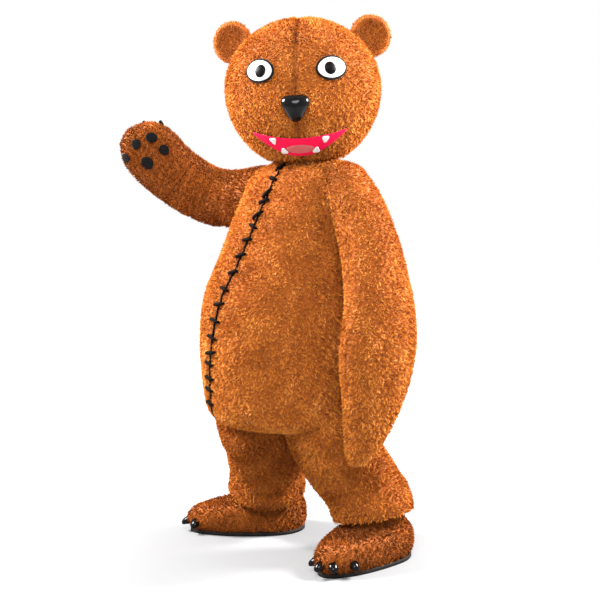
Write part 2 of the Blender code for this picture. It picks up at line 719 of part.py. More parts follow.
def mouth_edges(share):
    """Heights of the lower and upper lip where share runs from -1 to 1 across the mouth."""
    lower = MOUTH_CORNER - 0.004 - 0.074 * (1 - np.abs(share) ** 2.4)
    upper = MOUTH_CORNER + 0.004 - 0.024 * (1 - np.abs(share) ** 2)
    return lower, upper


def build_mouth(frame, layer):
    """A smiling crescent of red felt, with a tongue and four canine teeth laid on it."""
    share = np.linspace(-1, 1, MOUTH_COLUMNS)
    lower, upper = mouth_edges(share)
    down = np.linspace(0, 1, MOUTH_ROWS)[:, None]
    heights = upper + (lower - upper) * down
    angles = np.broadcast_to(math.radians(MOUTH_REACH) * share, heights.shape)
    normal = outward(head_skin, angles, -heights)
    skin = head_skin(angles, -heights)
    points, faces = wall_mesh(skin + (FELT_LIFT + FELT) * normal, skin + FELT_LIFT * normal)
    add_object("mouth_felt", points, faces, "red_felt", frame)

    low_middle = float(mouth_edges(np.array(0.0))[0])
    centre = (0.0, -0.024 - low_middle)
    lift = FELT_LIFT + layer
    points, faces = patch_mesh(head_skin, centre, oval(0.046, 0.020), Rings(16, 2), lift, flat_height(FELT))
    add_object("mouth_tongue", points, faces, "pink_felt", frame)

    for i, tooth in enumerate(TEETH):
        lower, upper = (float(edge) for edge in mouth_edges(np.array(tooth.share)))
        height = upper - 0.010 if tooth.up < 0 else lower + 0.012
        centre = (math.radians(MOUTH_REACH * tooth.share), -height)
        outline = rounded_triangle(0.0105, 0.026, TOOTH_ROUNDNESS, tooth.up)
        lift = FELT_LIFT + 2 * layer
        points, faces = patch_mesh(head_skin, centre, outline, Rings(12, 1), lift, flat_height(FELT))
        add_object(f"tooth_{i + 1}", points, faces, "white_felt", frame)


def main():
    for old in list(bpy.data.objects):
        bpy.data.objects.remove(old)

    torso = Tube(TORSO)
    torso_core = filled("torso_core", torso.skin, torso_places(torso), 4 * (TORSO_COLUMNS - 1), -PLUSH)
    arms = {"right": Tube(RIGHT_ARM, RIGHT_PALM_FACES), "left": Tube(LEFT_ARM, LEFT_PALM_FACES)}
    legs = {"right": Tube(RIGHT_LEG), "left": Tube(LEFT_LEG)}
    cutters = []
    for side, tube in arms.items():
        core = filled(f"sleeve_{side}_core", tube.skin, sleeve_places(tube, side), SLEEVE_COLUMNS, SEAM_GAP)
        cutters.append((side, core))
    for side, tube in legs.items():
        core = filled(f"leg_{side}_core", tube.skin, leg_places(tube), LEG_COLUMNS, SEAM_GAP)
        cutters.append(("both", core))
    build_torso(torso, cutters)

    for side, tube in arms.items():
        build_arm(side, tube, torso_core)
    right_arm = arms["right"]
    build_pads(right_arm)
    places = paw_places(right_arm, "right")
    paw_core = filled("paw_core", right_arm.skin, places, 2 * PAW_COLUMNS - 2, SEAM_GAP)
    build_paw_claws(right_arm, paw_core)

    reach = 0.5
    half = SEAM_GAP / 2
    other_halves = {
        "right": box_cutter("left_half", (-half, -reach, FLOOR), (reach, reach, 0)),
        "left": box_cutter("right_half", (-reach, -reach, FLOOR), (half, reach, 0)),
    }
    for side, tube in legs.items():
        build_leg(side, tube, torso_core, other_halves[side])
        build_boot(side)

    head_frame = add_frame("head_frame", HEAD_CENTRE, (HEAD_NOD, HEAD_TILT, HEAD_TURN))
    head_core = build_head(head_frame)
    build_ears(head_frame, head_core)
    build_face(head_frame)


main()
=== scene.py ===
import math

import bpy
import numpy as np
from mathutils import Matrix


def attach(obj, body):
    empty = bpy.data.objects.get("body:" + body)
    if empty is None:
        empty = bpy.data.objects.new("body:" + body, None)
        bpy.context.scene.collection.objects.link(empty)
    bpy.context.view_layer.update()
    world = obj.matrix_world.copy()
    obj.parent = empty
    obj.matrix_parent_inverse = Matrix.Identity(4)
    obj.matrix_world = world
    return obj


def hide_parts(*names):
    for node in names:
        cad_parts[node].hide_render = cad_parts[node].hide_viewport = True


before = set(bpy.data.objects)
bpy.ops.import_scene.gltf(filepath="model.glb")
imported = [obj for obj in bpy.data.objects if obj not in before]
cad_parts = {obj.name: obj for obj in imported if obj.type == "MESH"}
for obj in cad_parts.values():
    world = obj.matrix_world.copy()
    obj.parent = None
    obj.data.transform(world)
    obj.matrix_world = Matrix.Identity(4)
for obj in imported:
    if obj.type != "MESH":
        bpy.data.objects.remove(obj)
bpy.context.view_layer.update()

# A hollow plush bear suit, one paw raised. Everything is in metres in the frame of the CAD model: the wearer
# faces -Y and stands on a floor below the shoulders. Each plush piece is a thin backing with its pile as a
# second piece; felt, claws, nose and soles lie on it.

draws = np.random.default_rng(41)
floorHeight = -1.35

cloth = {
    "pile": 0.0065,  # the backing lies this far below the tips
    "backing": 0.0025,
    "headWall": 0.010,  # backing and foam
    "step": 0.011,  # of the backing's grid
    "seamWidth": 0.011,  # how wide and deep a sewn seam pulls the plush in
    "seamDepth": 0.005,
}


# Surfaces


# Values between table rows: a cubic through every row, its slope there the mean of the steps on both sides.
def along(rows, places):
    rows = np.asarray(rows, float)
    slopes = np.gradient(rows, axis=0)
    low = np.clip(np.floor(places).astype(int), 0, len(rows) - 2)
    s = (places - low)[..., None]
    start = (1 + 2 * s) * (1 - s) ** 2 * rows[low] + s * (1 - s) ** 2 * slopes[low]
    end = s**2 * (3 - 2 * s) * rows[low + 1] - s**2 * (1 - s) * slopes[low + 1]
    return start + end


def unit(vectors):
    return vectors / np.maximum(np.linalg.norm(vectors, axis=-1, keepdims=True), 1e-12)


# A turn about X, then Y, then Z, in degrees.
def turned(aboutX, aboutY, aboutZ):
    x, y, z = (math.radians(angle) for angle in (aboutX, aboutY, aboutZ))
    nod = np.array([[1, 0, 0], [0, math.cos(x), -math.sin(x)], [0, math.sin(x), math.cos(x)]])
    tilt = np.array([[math.cos(y), 0, math.sin(y)], [0, 1, 0], [-math.sin(y), 0, math.cos(y)]])
    spin = np.array([[math.cos(z), -math.sin(z), 0], [math.sin(z), math.cos(z), 0], [0, 0, 1]])
    return spin @ tilt @ nod


# The sum of a few sine waves in random directions: about -1 to 1, with humps roughly a wavelength apart.
def ripple(points, wavelength, seed):
    own, waves = np.random.default_rng(seed), 7
    ways = unit(own.normal(size=(waves, 3))) / (wavelength * own.uniform(0.75, 1.35, (waves, 1)))
    starts = own.uniform(0, 2 * math.pi, waves)
    return np.sin(2 * math.pi * points @ ways.T + starts).sum(axis=-1) / math.sqrt(waves / 2) * 0.7


# Rings carried along a line. A row holds the ring's centre, half width, and depth to the front and back; its
# point is centre + half width * sin(angle) * side + depth * cos(angle) * front, plus the folds.
class Tube:
    def __init__(self, rows, facing=(0, -1, 0), folds=(), place=(0, 0, 0), turn=0.0):
        self.rows = np.array(rows) / 1000
        self.facing = unit(np.array(facing, float))
        self.last = len(rows) - 1.0
        self.folds = [(*fold[:4], *(size / 1000 for size in fold[4:])) for fold in folds]
        self.place = np.array(place, float)
        self.turn = turned(0, 0, turn)

    def axes(self, places):
        centre = along(self.rows[:, :3], places)
        way = unit(
            along(self.rows[:, :3], np.clip(places + 0.02, 0, self.last))
            - along(self.rows[:, :3], np.clip(places - 0.02, 0, self.last))
        )
        ahead = unit(self.facing - (way @ self.facing)[..., None] * way)
        return centre, np.cross(ahead, way), ahead

    def plain(self, angles, places):
        angles, places = np.broadcast_arrays(angles, places)
        centre, side, ahead = self.axes(places)
        size = along(self.rows[:, 3:], places)
        depth = np.where(np.cos(angles) > 0, size[..., 1], size[..., 2]) * np.cos(angles)
        return centre + (size[..., 0] * np.sin(angles))[..., None] * side + depth[..., None] * ahead

    # A fold is a line on the cloth from one (angle, row) to another, bowed sideways. Its height is
    # depth * exp(-(distance / width)^2), and it fades out at both ends.
    def foldHeight(self, angles, places):
        total = np.zeros(np.broadcast(angles, places).shape)
        for angleA, rowA, angleB, rowB, width, depth, bow in self.folds:
            middle = np.array((rowA + rowB) / 2)
            around = along(self.rows[:, 3:], middle).mean()
            reach = np.linalg.norm(
                along(self.rows[:, :3], np.minimum(middle + 0.5, self.last))
                - along(self.rows[:, :3], np.maximum(middle - 0.5, 0))
            )
            dAngle = (angles - math.radians(angleA) + math.pi) % (2 * math.pi) - math.pi
            x, y = dAngle * around, (places - rowA) * reach
            wayX, wayY = math.radians(angleB - angleA) * around, (rowB - rowA) * reach
            length = math.hypot(wayX, wayY)
            share = (x * wayX + y * wayY) / length**2
            off = (x * wayY - y * wayX) / length - bow * np.sin(math.pi * np.clip(share, 0, 1))
            fade = np.clip(4 * share * (1 - share), 0, 1) ** 0.7
            total += depth * fade * np.exp(-((off / width) ** 2))
        return total

    def skin(self, angles, places):
        angles, places = np.broadcast_arrays(np.asarray(angles, float), np.asarray(places, float))
        points = self.plain(angles, places)
        if self.folds:
            height = self.foldHeight(angles, places)
            points = points + height[..., None] * normals(self.plain, angles, places)
        return points @ self.turn.T + self.place

    def evenPlaces(self, first, last, count):
        fine = np.linspace(first, last, 300)
        steps = np.linalg.norm(np.diff(self.plain(0.6, fine), axis=0), axis=-1)
        walked = np.concatenate([[0.0], np.cumsum(steps)])
        return np.interp(np.linspace(0, walked[-1], count), walked, fine)

    # How far points lie outside the skin, below 0 inside: the nearest ring's own ellipse scaled to the point.
    # Past the ends of the line everything is outside.
    def outside(self, points, first=0.0):
        local = (points - self.place) @ self.turn
        places = np.linspace(first, self.last, 80)
        centres = along(self.rows[:, :3], places)
        near = np.concatenate(
            [((part[:, None] - centres) ** 2).sum(-1).argmin(1) for part in np.array_split(local, 40)]
        )
        centre, side, ahead = self.axes(places[near])
        size = along(self.rows[:, 3:], places[near])
        way = np.cross(side, ahead)
        offset = local - centre
        x, y, z = ((offset * axis).sum(-1) for axis in (side, ahead, way))
        share = np.hypot(x / size[:, 0], y / np.where(y > 0, size[:, 1], size[:, 2]))
        gap = (share - 1) * size.mean(axis=1)
        past = np.where(near == 0, -z, np.where(near == len(places) - 1, z, -1))
        return np.maximum(gap, past)


# Unit normals of a surface of two parameters, from its slopes: they point away from the axis.
def normals(surface, u, v):
    step = 1e-3
    du = surface(u + step, v) - surface(u - step, v)
    dv = surface(u, v + step) - surface(u, v - step)
    return unit(np.cross(dv, du))


# Meshes


# Quads between the rows of a grid whose points start at the given index.
def gridQuads(rows, cols, start=0, closed=False, flip=False):
    r, c = np.meshgrid(np.arange(rows - 1), np.arange(cols if closed else cols - 1), indexing="ij")
    a = start + r * cols + c
    b = start + r * cols + (c + 1) % cols
    quads = np.stack([a, b, b + cols, a + cols], axis=-1).reshape(-1, 4)
    return quads[:, ::-1] if flip else quads


def addObject(name, data):
    made = bpy.data.objects.new(name, data)
    bpy.context.scene.collection.objects.link(made)
    return made


def plainMesh(name, points, faces):
    mesh = bpy.data.meshes.new(name)
    mesh.from_pydata(points.reshape(-1, 3).tolist(), [], [list(map(int, face)) for face in faces])
    return mesh


def addMesh(name, points, faces, material):
    mesh = plainMesh(name, points, faces)
    mesh.shade_smooth()
    mesh.materials.append(material)
    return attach(addObject(name, mesh), "root")


def standsFor(node):
    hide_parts(node)


# A closed wall between two grids of points, with the rims between them.
def wallFaces(rows, cols, closed):
    size = rows * cols
    index = np.arange(size).reshape(rows, cols)
    if closed:
        rims = [index[0], index[-1, ::-1]]
    else:
        rims = [np.concatenate([index[0, :-1], index[:-1, -1], index[-1, :0:-1], index[:0:-1, 0]])]
    faces = [gridQuads(rows, cols, 0, closed, True), gridQuads(rows, cols, size, closed)]
    for rim in rims:
        beside = np.roll(rim, -1)
        faces.append(np.stack([rim, beside, beside + size, rim + size], axis=-1))
    return np.concatenate(faces)


# A closed form of two round grids of rings, from a shared rim to a cap on each.
def lensFaces(rings, around, flip=False):
    size = rings * around
    last = np.arange(size - around, size)
    rim = np.arange(around)
    beside = (rim + 1) % around
    faces = [*gridQuads(rings, around, 0, True), *gridQuads(rings, around, size, True, True)]
    faces += [last, (last + size)[::-1], *np.stack([rim, rim + size, beside + size, beside], axis=-1)]
    return [face[::-1] for face in faces] if flip else faces


# Materials


# One socket's value in an expression: operators add Math nodes.
class Val:
    def __init__(self, shader, socket):
        self.shader = shader
        self.socket = socket

    def math(self, operation, other):
        return self.shader.node("ShaderNodeMath", {"operation": operation}, {0: self, 1: other})

    def __add__(self, other):
        return self.math("ADD", other)

    def __sub__(self, other):
        return self.math("SUBTRACT", other)

    def __mul__(self, other):
        return self.math("MULTIPLY", other)

    def clamped(self):
        return self.shader.node("ShaderNodeClamp", {}, {0: self})


# A node material: node() adds any node from its type, its settings and the values or links of its sockets.
class Shader:
    def __init__(self, name, **constants):
        self.material = bpy.data.materials.new(name)
        self.material.use_nodes = True
        self.tree = self.material.node_tree
        self.surface = self.tree.nodes["Principled BSDF"]
        for socket, value in constants.items():
            self.surface.inputs[socket.replace("_", " ")].default_value = value

    def node(self, kind, settings, values, output=0):
        made = self.tree.nodes.new(kind)
        for key, value in settings.items():
            setattr(made, key, value)
        for socket, value in values.items():
            if isinstance(value, Val):
                self.tree.links.new(value.socket, made.inputs[socket])
            else:
                made.inputs[socket].default_value = value
        return Val(self, made.outputs[output])

    def feed(self, **links):
        for socket, value in links.items():
            self.tree.links.new(value.socket, self.surface.inputs[socket.replace("_", " ")])
        return self.material

    def place(self):
        return self.node("ShaderNodeTexCoord", {}, {}, "Object")

    def noise(self, scale, detail=2.0, roughness=0.5):
        values = {"Vector": self.place(), "Scale": scale, "Detail": detail, "Roughness": roughness}
        return self.node("ShaderNodeTexNoise", {}, values)

    def ramp(self, value, *stops):
        colour = self.node("ShaderNodeValToRGB", {}, {0: value})
        elements = colour.socket.node.color_ramp.elements
        while len(elements) < len(stops):
            elements.new(0.5)
        for element, (place, shade) in zip(elements, stops):
            element.position = place
            element.color = (*shade, 1)
        return colour

    def bump(self, height, strength, distance):
        values = {"Height": height, "Strength": strength, "Distance": distance}
        return self.node("ShaderNodeBump", {}, values)


def pileMaterial():
    sheen = {"Sheen_Weight": 0.16, "Sheen_Roughness": 0.4, "Sheen_Tint": (1.0, 0.65, 0.32, 1.0)}
    shader = Shader("plush_pile", Roughness=0.9, Specular_IOR_Level=0.08, **sheen)
    both = shader.node("ShaderNodeUVMap", {"uv_map": "tuft"}, {})
    parts = shader.node("ShaderNodeSeparateXYZ", {}, {0: both})
    tone = Val(shader, parts.socket.node.outputs[0])
    height = Val(shader, parts.socket.node.outputs[1])
    # Each tuft runs darker at its root and lighter at its tip: painted shade deep in the pile, on top of its
    # tone.
    colour = shader.ramp(
        (tone * 0.85 + (height - 0.5) * 0.20 + 0.08).clamped(),
        (0.0, (0.085, 0.017, 0.001)),
        (0.35, (0.290, 0.070, 0.006)),
        (0.65, (0.545, 0.185, 0.028)),
        (1.0, (0.830, 0.480, 0.175)),
    )
    return shader.feed(Base_Color=colour)


# A finish with a fine grain and broad patches. Its colour runs between two stops by a mix of both, and its
# roughness, from a value and a span, and its relief follow the grain.
def grained(name, grain, patches, mix, stops, roughness, relief, **constants):
    shader = Shader(name, **constants)
    fine = shader.noise(*grain)
    colour = shader.ramp((fine * (1 - mix) + shader.noise(*patches) * mix).clamped(), *stops)
    rough, span = roughness
    return shader.feed(Base_Color=colour, Roughness=fine * span + rough, Normal=shader.bump(fine, *relief))


# The backing is coloured darker than the pile: partly the cloth's own colour, partly painted shade in the
# gaps between the tufts.
def shadedBackingMaterial():
    sheen = {"Sheen_Weight": 0.08, "Sheen_Roughness": 0.6, "Specular_IOR_Level": 0.1}
    stops = ((0.3, (0.190, 0.042, 0.004)), (0.7, (0.370, 0.098, 0.011)))
    return grained("backing", (420, 3, 0.7), (28,), 0.3, stops, (0.75, 0.2), (0.6, 0.003), **sheen)


def feltMaterial(name, dark, light):
    sheen = {"Sheen_Weight": 0.015, "Sheen_Roughness": 0.6, "Specular_IOR_Level": 0.06}
    stops = ((0.3, dark), (0.7, light))
    return grained(name, (1400, 3, 0.75), (60,), 0.4, stops, (0.7, 0.2), (0.35, 0.0008), **sheen)


def glossMaterial(name, roughness, coat):
    polish = {"Coat_Weight": coat, "Coat_Roughness": 0.06, "Specular_IOR_Level": 0.04}
    stops = ((0.35, (0.00220, 0.00180, 0.00180)), (0.7, (0.00374, 0.00306, 0.00306)))
    return grained(name, (70, 3, 0.6), (70,), 0.0, stops, (roughness, 0.12), (0.08, 0.002), **polish)


def rubberMaterial():
    stops = ((0.4, (0.005, 0.004, 0.003)), (0.75, (0.014, 0.010, 0.008)))
    shine = {"Specular_IOR_Level": 0.15}
    return grained("sole_rubber", (800, 3, 0.7), (35, 3), 1.0, stops, (0.5, 0.3), (0.3, 0.0008), **shine)


def threadMaterial():
    stops = ((0.3, (0.0016, 0.0010, 0.0007)), (0.75, (0.0065, 0.0038, 0.0024)))
    shine = {"Specular_IOR_Level": 0.03}
    return grained("black_thread", (1100, 3, 0.8), (60,), 0.0, stops, (0.65, 0.2), (0.6, 0.001), **shine)


finish = {
    "pile": pileMaterial(),
    "backing": shadedBackingMaterial(),
    "black_felt": feltMaterial("felt_black", (0.0022, 0.0022, 0.0025), (0.0065, 0.0065, 0.0070)),
    "white_felt": feltMaterial("felt_white", (0.46, 0.46, 0.455), (0.56, 0.56, 0.555)),
    "red_felt": feltMaterial("felt_red", (0.52, 0.003, 0.036), (0.68, 0.006, 0.060)),
    "pink_felt": feltMaterial("felt_pink", (0.33, 0.062, 0.066), (0.43, 0.110, 0.105)),
    "gloss": glossMaterial("plastic_black", 0.14, 0.16),
    "dull": glossMaterial("plastic_black_dull", 0.34, 0.0),
    "rubber": rubberMaterial(),
    "thread": threadMaterial(),
}
print("materials done")


# Plush pieces

fur = {
    "gap": 0.0043,  # between tufts, about
    "length": 0.0110,
    "width": 0.0032,
    "lean": 0.50,  # how far the pile lies over along its nap
    "curl": 0.75,  # how far small locks of it turn together
    "lock": 0.017,  # the size of a lock
    "seamClear": 0.0060,  # no tufts this close to the stitched seam
    "buried": 0.005,  # tufts stay this far into the pile of the piece that theirs meets
    "stray": 0.20,  # how far single tufts turn on their own
    "bends": (0.55, 0.50),  # the two joints' shares of the length
    "leans": (0.55, 1.15),  # how far each turns the tuft's way
    "rises": (1.0, 0.62),
    "ends": (0.50, 0.42),  # half widths at the root and between the joints
    "tone": 0.52,  # of the colours from dark to light, and how far it varies by patch, lock and tuft
    "patch": 0.110,
    "toneSpreads": (0.09, 0.09, 0.03),
}


# Tufts on a grid of backing points: a tuft is a bent blade of two joints, wide at its root and pointed at its
# tip. It starts at a random place on the grid, spread by area, and leans with the nap and with its lock.
def tufts(name, grid, up, nap, keep, shade=0.0, gap=1.0, length=1.0, width=1.0):
    cells = (grid[1:, 1:] - grid[:-1, :-1], grid[1:, :-1] - grid[:-1, 1:])
    area = 0.5 * np.linalg.norm(np.cross(*cells), axis=-1)
    total = np.cumsum(area.ravel())
    count = int(total[-1] / (fur["gap"] * gap) ** 2)
    picks = (np.arange(count) + draws.random(count)) / count * total[-1]
    row, col = np.unravel_index(np.clip(np.searchsorted(total, picks), 0, area.size - 1), area.shape)
    s, t = draws.random((2, count, 1))

    def at(field):
        top = field[row, col] * (1 - s) + field[row, col + 1] * s
        low = field[row + 1, col] * (1 - s) + field[row + 1, col + 1] * s
        return top * (1 - t) + low * t

    root, out, lay = at(grid), unit(at(up)), unit(at(nap))
    chosen = keep(root)
    root, out, lay = root[chosen], out[chosen], lay[chosen]
    count = len(root)
    lock = np.stack([ripple(root, fur["lock"], seed) for seed in (1, 2, 3)], axis=-1)
    loose = draws.normal(size=(count, 3)) * fur["stray"]
    way = lay * fur["lean"] + lock * fur["curl"] + loose
    way -= (way * out).sum(-1, keepdims=True) * out
    reach = fur["length"] * length * draws.uniform(0.75, 1.2, (count, 1))
    wide = fur["width"] * width * draws.uniform(0.75, 1.3, (count, 1))
    first, second = (unit(rise * out + turn * way) for rise, turn in zip(fur["rises"], fur["leans"]))
    spin = draws.uniform(0, 2 * math.pi, (count, 1))
    across = unit(np.cross(first, lay + 0.01))
    side = across * np.cos(spin) + np.cross(first, across) * np.sin(spin)
    bend = fur["bends"]
    middle = root + bend[0] * reach * first
    tip = middle + bend[1] * reach * second
    low, high = (side * wide * share for share in fur["ends"])
    points = np.stack([root - low, root + low, middle + high, middle - high, tip], axis=1)
    start = 5 * np.arange(count)[:, None]
    mesh = bpy.data.meshes.new(name)
    mesh.vertices.add(5 * count)
    mesh.vertices.foreach_set("co", points.astype(np.float32).ravel())
    corners = np.concatenate([start + [0, 1, 2, 3], start + [3, 2, 4]], axis=1).ravel()
    mesh.loops.add(7 * count)
    mesh.loops.foreach_set("vertex_index", corners.astype(np.int32))
    mesh.polygons.add(2 * count)
    starts = (7 * np.arange(count)[:, None] + [0, 4]).ravel()
    mesh.polygons.foreach_set("loop_start", starts.astype(np.int32))
    mesh.update(calc_edges=True)
    mesh.shade_smooth()

    patch, own, single = fur["toneSpreads"]
    tone = fur["tone"] + patch * ripple(root, fur["patch"], 7) + own * ripple(root, fur["lock"], 8)
    # shade lowers the tone by piece or by place: painted shade on the raised paw, legs, boots, face parting
    # and beside the sleeves, and the ears' darker dishes.
    tone += single * draws.normal(size=count) + (shade(root) if callable(shade) else shade)
    tone = np.clip(tone, 0.02, 0.98)
    heights = np.array([0.0, 0.0, *[bend[0]] * 4, 1.0])
    places = np.stack([np.repeat(tone, 7), np.tile(heights, count)], axis=-1)
    for layer in ("tuft", "OFBake"):
        mesh.uv_layers.new(name=layer).data.foreach_set("uv", places.astype(np.float32).ravel())
    mesh.materials.append(finish["pile"])
    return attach(addObject(name, mesh), "root")


everywhere = lambda points: np.ones(len(points), bool)


# Cuts the cutters' spaces out of a shell and fixes the result in its mesh. A cut that takes most of the shell
# has failed, and the shell stays whole.
def carve(shell, cutters):
    if not cutters:
        return
    for cutter in cutters:
        boolean = shell.modifiers.new(cutter.name, "BOOLEAN")
        boolean.operation = "DIFFERENCE"
        boolean.solver = "EXACT"
        boolean.object = cutter
    seen = bpy.context.evaluated_depsgraph_get()
    cut = bpy.data.meshes.new_from_object(shell.evaluated_get(seen))
    shell.modifiers.clear()
    if len(cut.polygons) > 0.4 * len(shell.data.polygons):
        shell.data = cut
        shell.data.shade_smooth()
    else:
        print("uncut", shell.name)


# The space inside a skin, moved in by an inset, as a cutter.
def spaceIn(name, skin, angles, places, inset):
    u, v = np.broadcast_arrays(angles, places[:, None])
    points = skin(u, v) - inset * normals(skin, u, v)
    rows, cols = u.shape
    size = rows * cols
    faces = [*gridQuads(rows, cols, 0, True, True), np.arange(cols), np.arange(size - 1, size - cols - 1, -1)]
    return addObject(name, plainMesh(name, points, faces))


# A backing cut from a skin over these angles and places, with its pile. Side edges that aren't closed are
# sewn, and pull in along the seam, more in some places than in others.
def plush(node, skin, angles, places, closed=False, nap=1.0, keep=everywhere, wall=None, cutters=(), **looks):
    u = angles if angles.ndim == 2 else np.broadcast_to(angles, (len(places), len(angles)))
    v = np.broadcast_to(places[:, None], u.shape)
    outer = skin(u, v)
    up = normals(skin, u, v)
    for column in () if closed else (0, -1):
        line = outer[:, [column]]
        apart = np.linalg.norm(outer - line, axis=-1)
        pucker = 1 + 0.45 * ripple(line, 0.045, 21)
        pull = cloth["seamDepth"] * pucker * np.exp(-((apart / cloth["seamWidth"]) ** 2))
        outer = outer - pull[..., None] * up
    face = outer - cloth["pile"] * up
    back = face - (wall or cloth["backing"]) * up
    rows, cols = u.shape
    faces = wallFaces(rows, cols, closed)
    shell = addMesh(f"{node}_backing", np.stack([face, back]), faces, finish["backing"])
    if closed:
        face, up = (np.concatenate([field, field[:, :1]], axis=1) for field in (face, up))
    down = np.gradient(face, axis=0) * nap
    pile = tufts(f"{node}_pile", face, up, unit(down), keep, **looks)
    carve(shell, cutters)
    standsFor(node)
    column = np.linalg.norm(np.diff(face, axis=0), axis=-1).sum(axis=0)


def ringAngles(count):
    return np.linspace(0, 2 * math.pi, count, endpoint=False)


# The tables of rows and folds are in millimetres.

# Torso: from the neck down to the crotch
torso = {
    "rows": [
        (0, 12, 90, 104, 102, 102),
        (0, 12, 45, 104, 102, 102),
        (0, 12, 6, 106, 103, 104),
        (0, 12, -18, 145, 122, 134),
        (0, 12, -35, 204, 148, 172),
        (0, 12, -68, 232, 174, 186),
        (0, 10, -140, 250, 207, 188),
        (0, 4, -232, 264, 246, 200),
        (0, 0, -325, 276, 289, 214),
        (0, 0, -420, 292, 341, 230),
        (0, 0, -510, 302, 364, 244),
        (0, 0, -600, 306, 370, 252),
        (0, 0, -680, 306, 367, 258),
        (0, 0, -760, 303, 358, 258),
        (0, 0, -830, 294, 346, 250),
        (0, 0, -868, 272, 322, 232),
        (0, 0, -892, 226, 270, 192),
        (0, 0, -904, 155, 185, 132),
        (0, 0, -909, 70, 80, 60),
        (0, 0, -910, 2, 2, 2),
    ],
    "folds": [  # from angle and row, to angle and row, width, height (below 0 for a trough) and bow
        (60, 3.7, 178, 3.7, 26, 14, 0),
        (-60, 3.7, -176, 3.7, 26, 10, 0),
        (52, 4.6, 68, 7.4, 22, -10, 12),
        (66, 6.2, 78, 10.5, 30, -8, -15),
        (84, 7.5, 92, 12, 34, -7, 20),
        (28, 4.8, 42, 6.4, 24, -6, -10),
        (-38, 5.2, -24, 8.2, 24, -8, 12),
        (-56, 6.4, -44, 10, 30, -7, -12),
        (30, 13.6, 78, 14.2, 20, -6, 10),
        (-10, 13.9, 30, 14.3, 18, -4, -6),
        (128, 4.6, 118, 8, 26, -9, 12),
        (-124, 4.8, -112, 8.6, 26, -9, -12),
        (150, 12.6, 204, 13.4, 26, -7, 14),
    ],
    "seamTop": 12.5,  # degrees round the body, where the stitched seam starts and ends
    "seamFoot": -11.5,
    "armpit": -0.14,
    # painted shade of the pile beside the sleeve below the armpit, and how wide it reaches
    "sleeveShade": -0.30,
    "sleeveShadeWidth": 0.040,
    "leanFrom": -0.10,
    "leanTo": -0.86,
}

# Sleeve and paw in one line, from the shoulder to the finger tips; the front is the palm's side
rightArm = {
    "rows": [
        (-120, 10, -123, 103, 103, 103),
        (-215, -5, -124, 108, 108, 108),
        (-310, -30, -136, 107, 106, 106),
        (-400, -62, -138, 106, 101, 101),
        (-466, -115, -117, 106, 95, 96),
        (-508, -180, -72, 107, 86, 91),
        (-525, -232, -30, 109, 75, 87),
        (-534, -276, 12, 112, 63, 80),
        (-539, -309, 52, 107, 55, 73),
        (-542, -334, 87, 89, 46, 60),
        (-543, -351, 112, 60, 32, 39),
        (-543, -357, 122, 28, 17, 20),
        (-543, -358, 124, 2, 2, 2),
    ],
    "palmFaces": (0.81, -0.55, -0.21),
    "claw": (0.030, 0.011, 0.006),  # length, radius, droop
    "clawRoot": 0.016,
    "clawRow": 9.7,  # of the middle ones; the outer ones lie up to clawBow further back
    "clawBow": 1.1,
    "clawShares": (-0.85, -0.3, 0.25, 0.8),  # across the back of the paw
    "clawReach": 76.0,
    "wrist": 5.2,
    "folds": [
        (-70, 1.35, 72, 1.1, 16, -13, 10),
        (-62, 1.8, 60, 1.75, 13, -10, -12),
        (-30, 2.25, 88, 2.05, 15, -11, 14),
        (-80, 2.7, 20, 2.62, 14, -8, 8),
        (10, 2.95, 110, 2.75, 16, -10, -10),
        (-58, 3.55, 40, 3.7, 14, -9, -8),
        (-10, 4.25, 84, 4.1, 13, -9, 10),
        (-85, 4.7, -10, 4.85, 12, -7, 6),
        (-88, 5.25, 88, 5.15, 9, -6, 4),
        (120, 1.6, 230, 1.5, 16, -11, 12),
        (130, 2.4, 250, 2.6, 16, -10, -12),
        (110, 3.4, 220, 3.6, 15, -9, 10),
    ],
}
leftArm = {
    "rows": [
        (106, 10, -98, 90, 90, 90),
        (190, 22, -105, 94, 96, 96),
        (257, 28, -150, 92, 93, 93),
        (309, 26, -220, 99, 90, 91),
        (353, 24, -310, 112, 87, 90),
        (392, 20, -430, 131, 83, 90),
        (406, 14, -540, 149, 81, 90),
        (408, 6, -610, 155, 80, 88),
        (404, 2, -690, 143, 76, 82),
        (396, -8, -780, 118, 67, 72),
        (384, -24, -870, 88, 54, 57),
        (373, -40, -935, 58, 38, 40),
        (367, -46, -968, 36, 26, 27),
        (366, -47, -980, 18, 14, 14),
        (366, -47, -982, 2, 2, 2),
    ],
    "palmFaces": (-1.0, -0.15, 0.0),
    "wrist": 6.1,
    "folds": [
        (120, 0.9, 240, 0.9, 40, 12, 0),
        (86, 1.6, 78, 5.9, 14, -12, 6),
        (70, 2.4, 128, 3, 20, -9, 12),
        (82, 3.4, 140, 3.9, 18, -7, -12),
        (88, 5.2, 132, 5.6, 14, -6, 8),
        (62, 6.15, 118, 6.25, 12, -6, 6),
        (150, 2, 205, 2.5, 20, -7, 10),
        (170, 4.2, 236, 4.7, 18, -7, -10),
        (240, 6.1, 300, 6.2, 12, -5, 6),
        (230, 2.2, 300, 3, 18, -8, 10),
        (120, 7.4, 150, 9.2, 16, -5, 8),
    ],
}
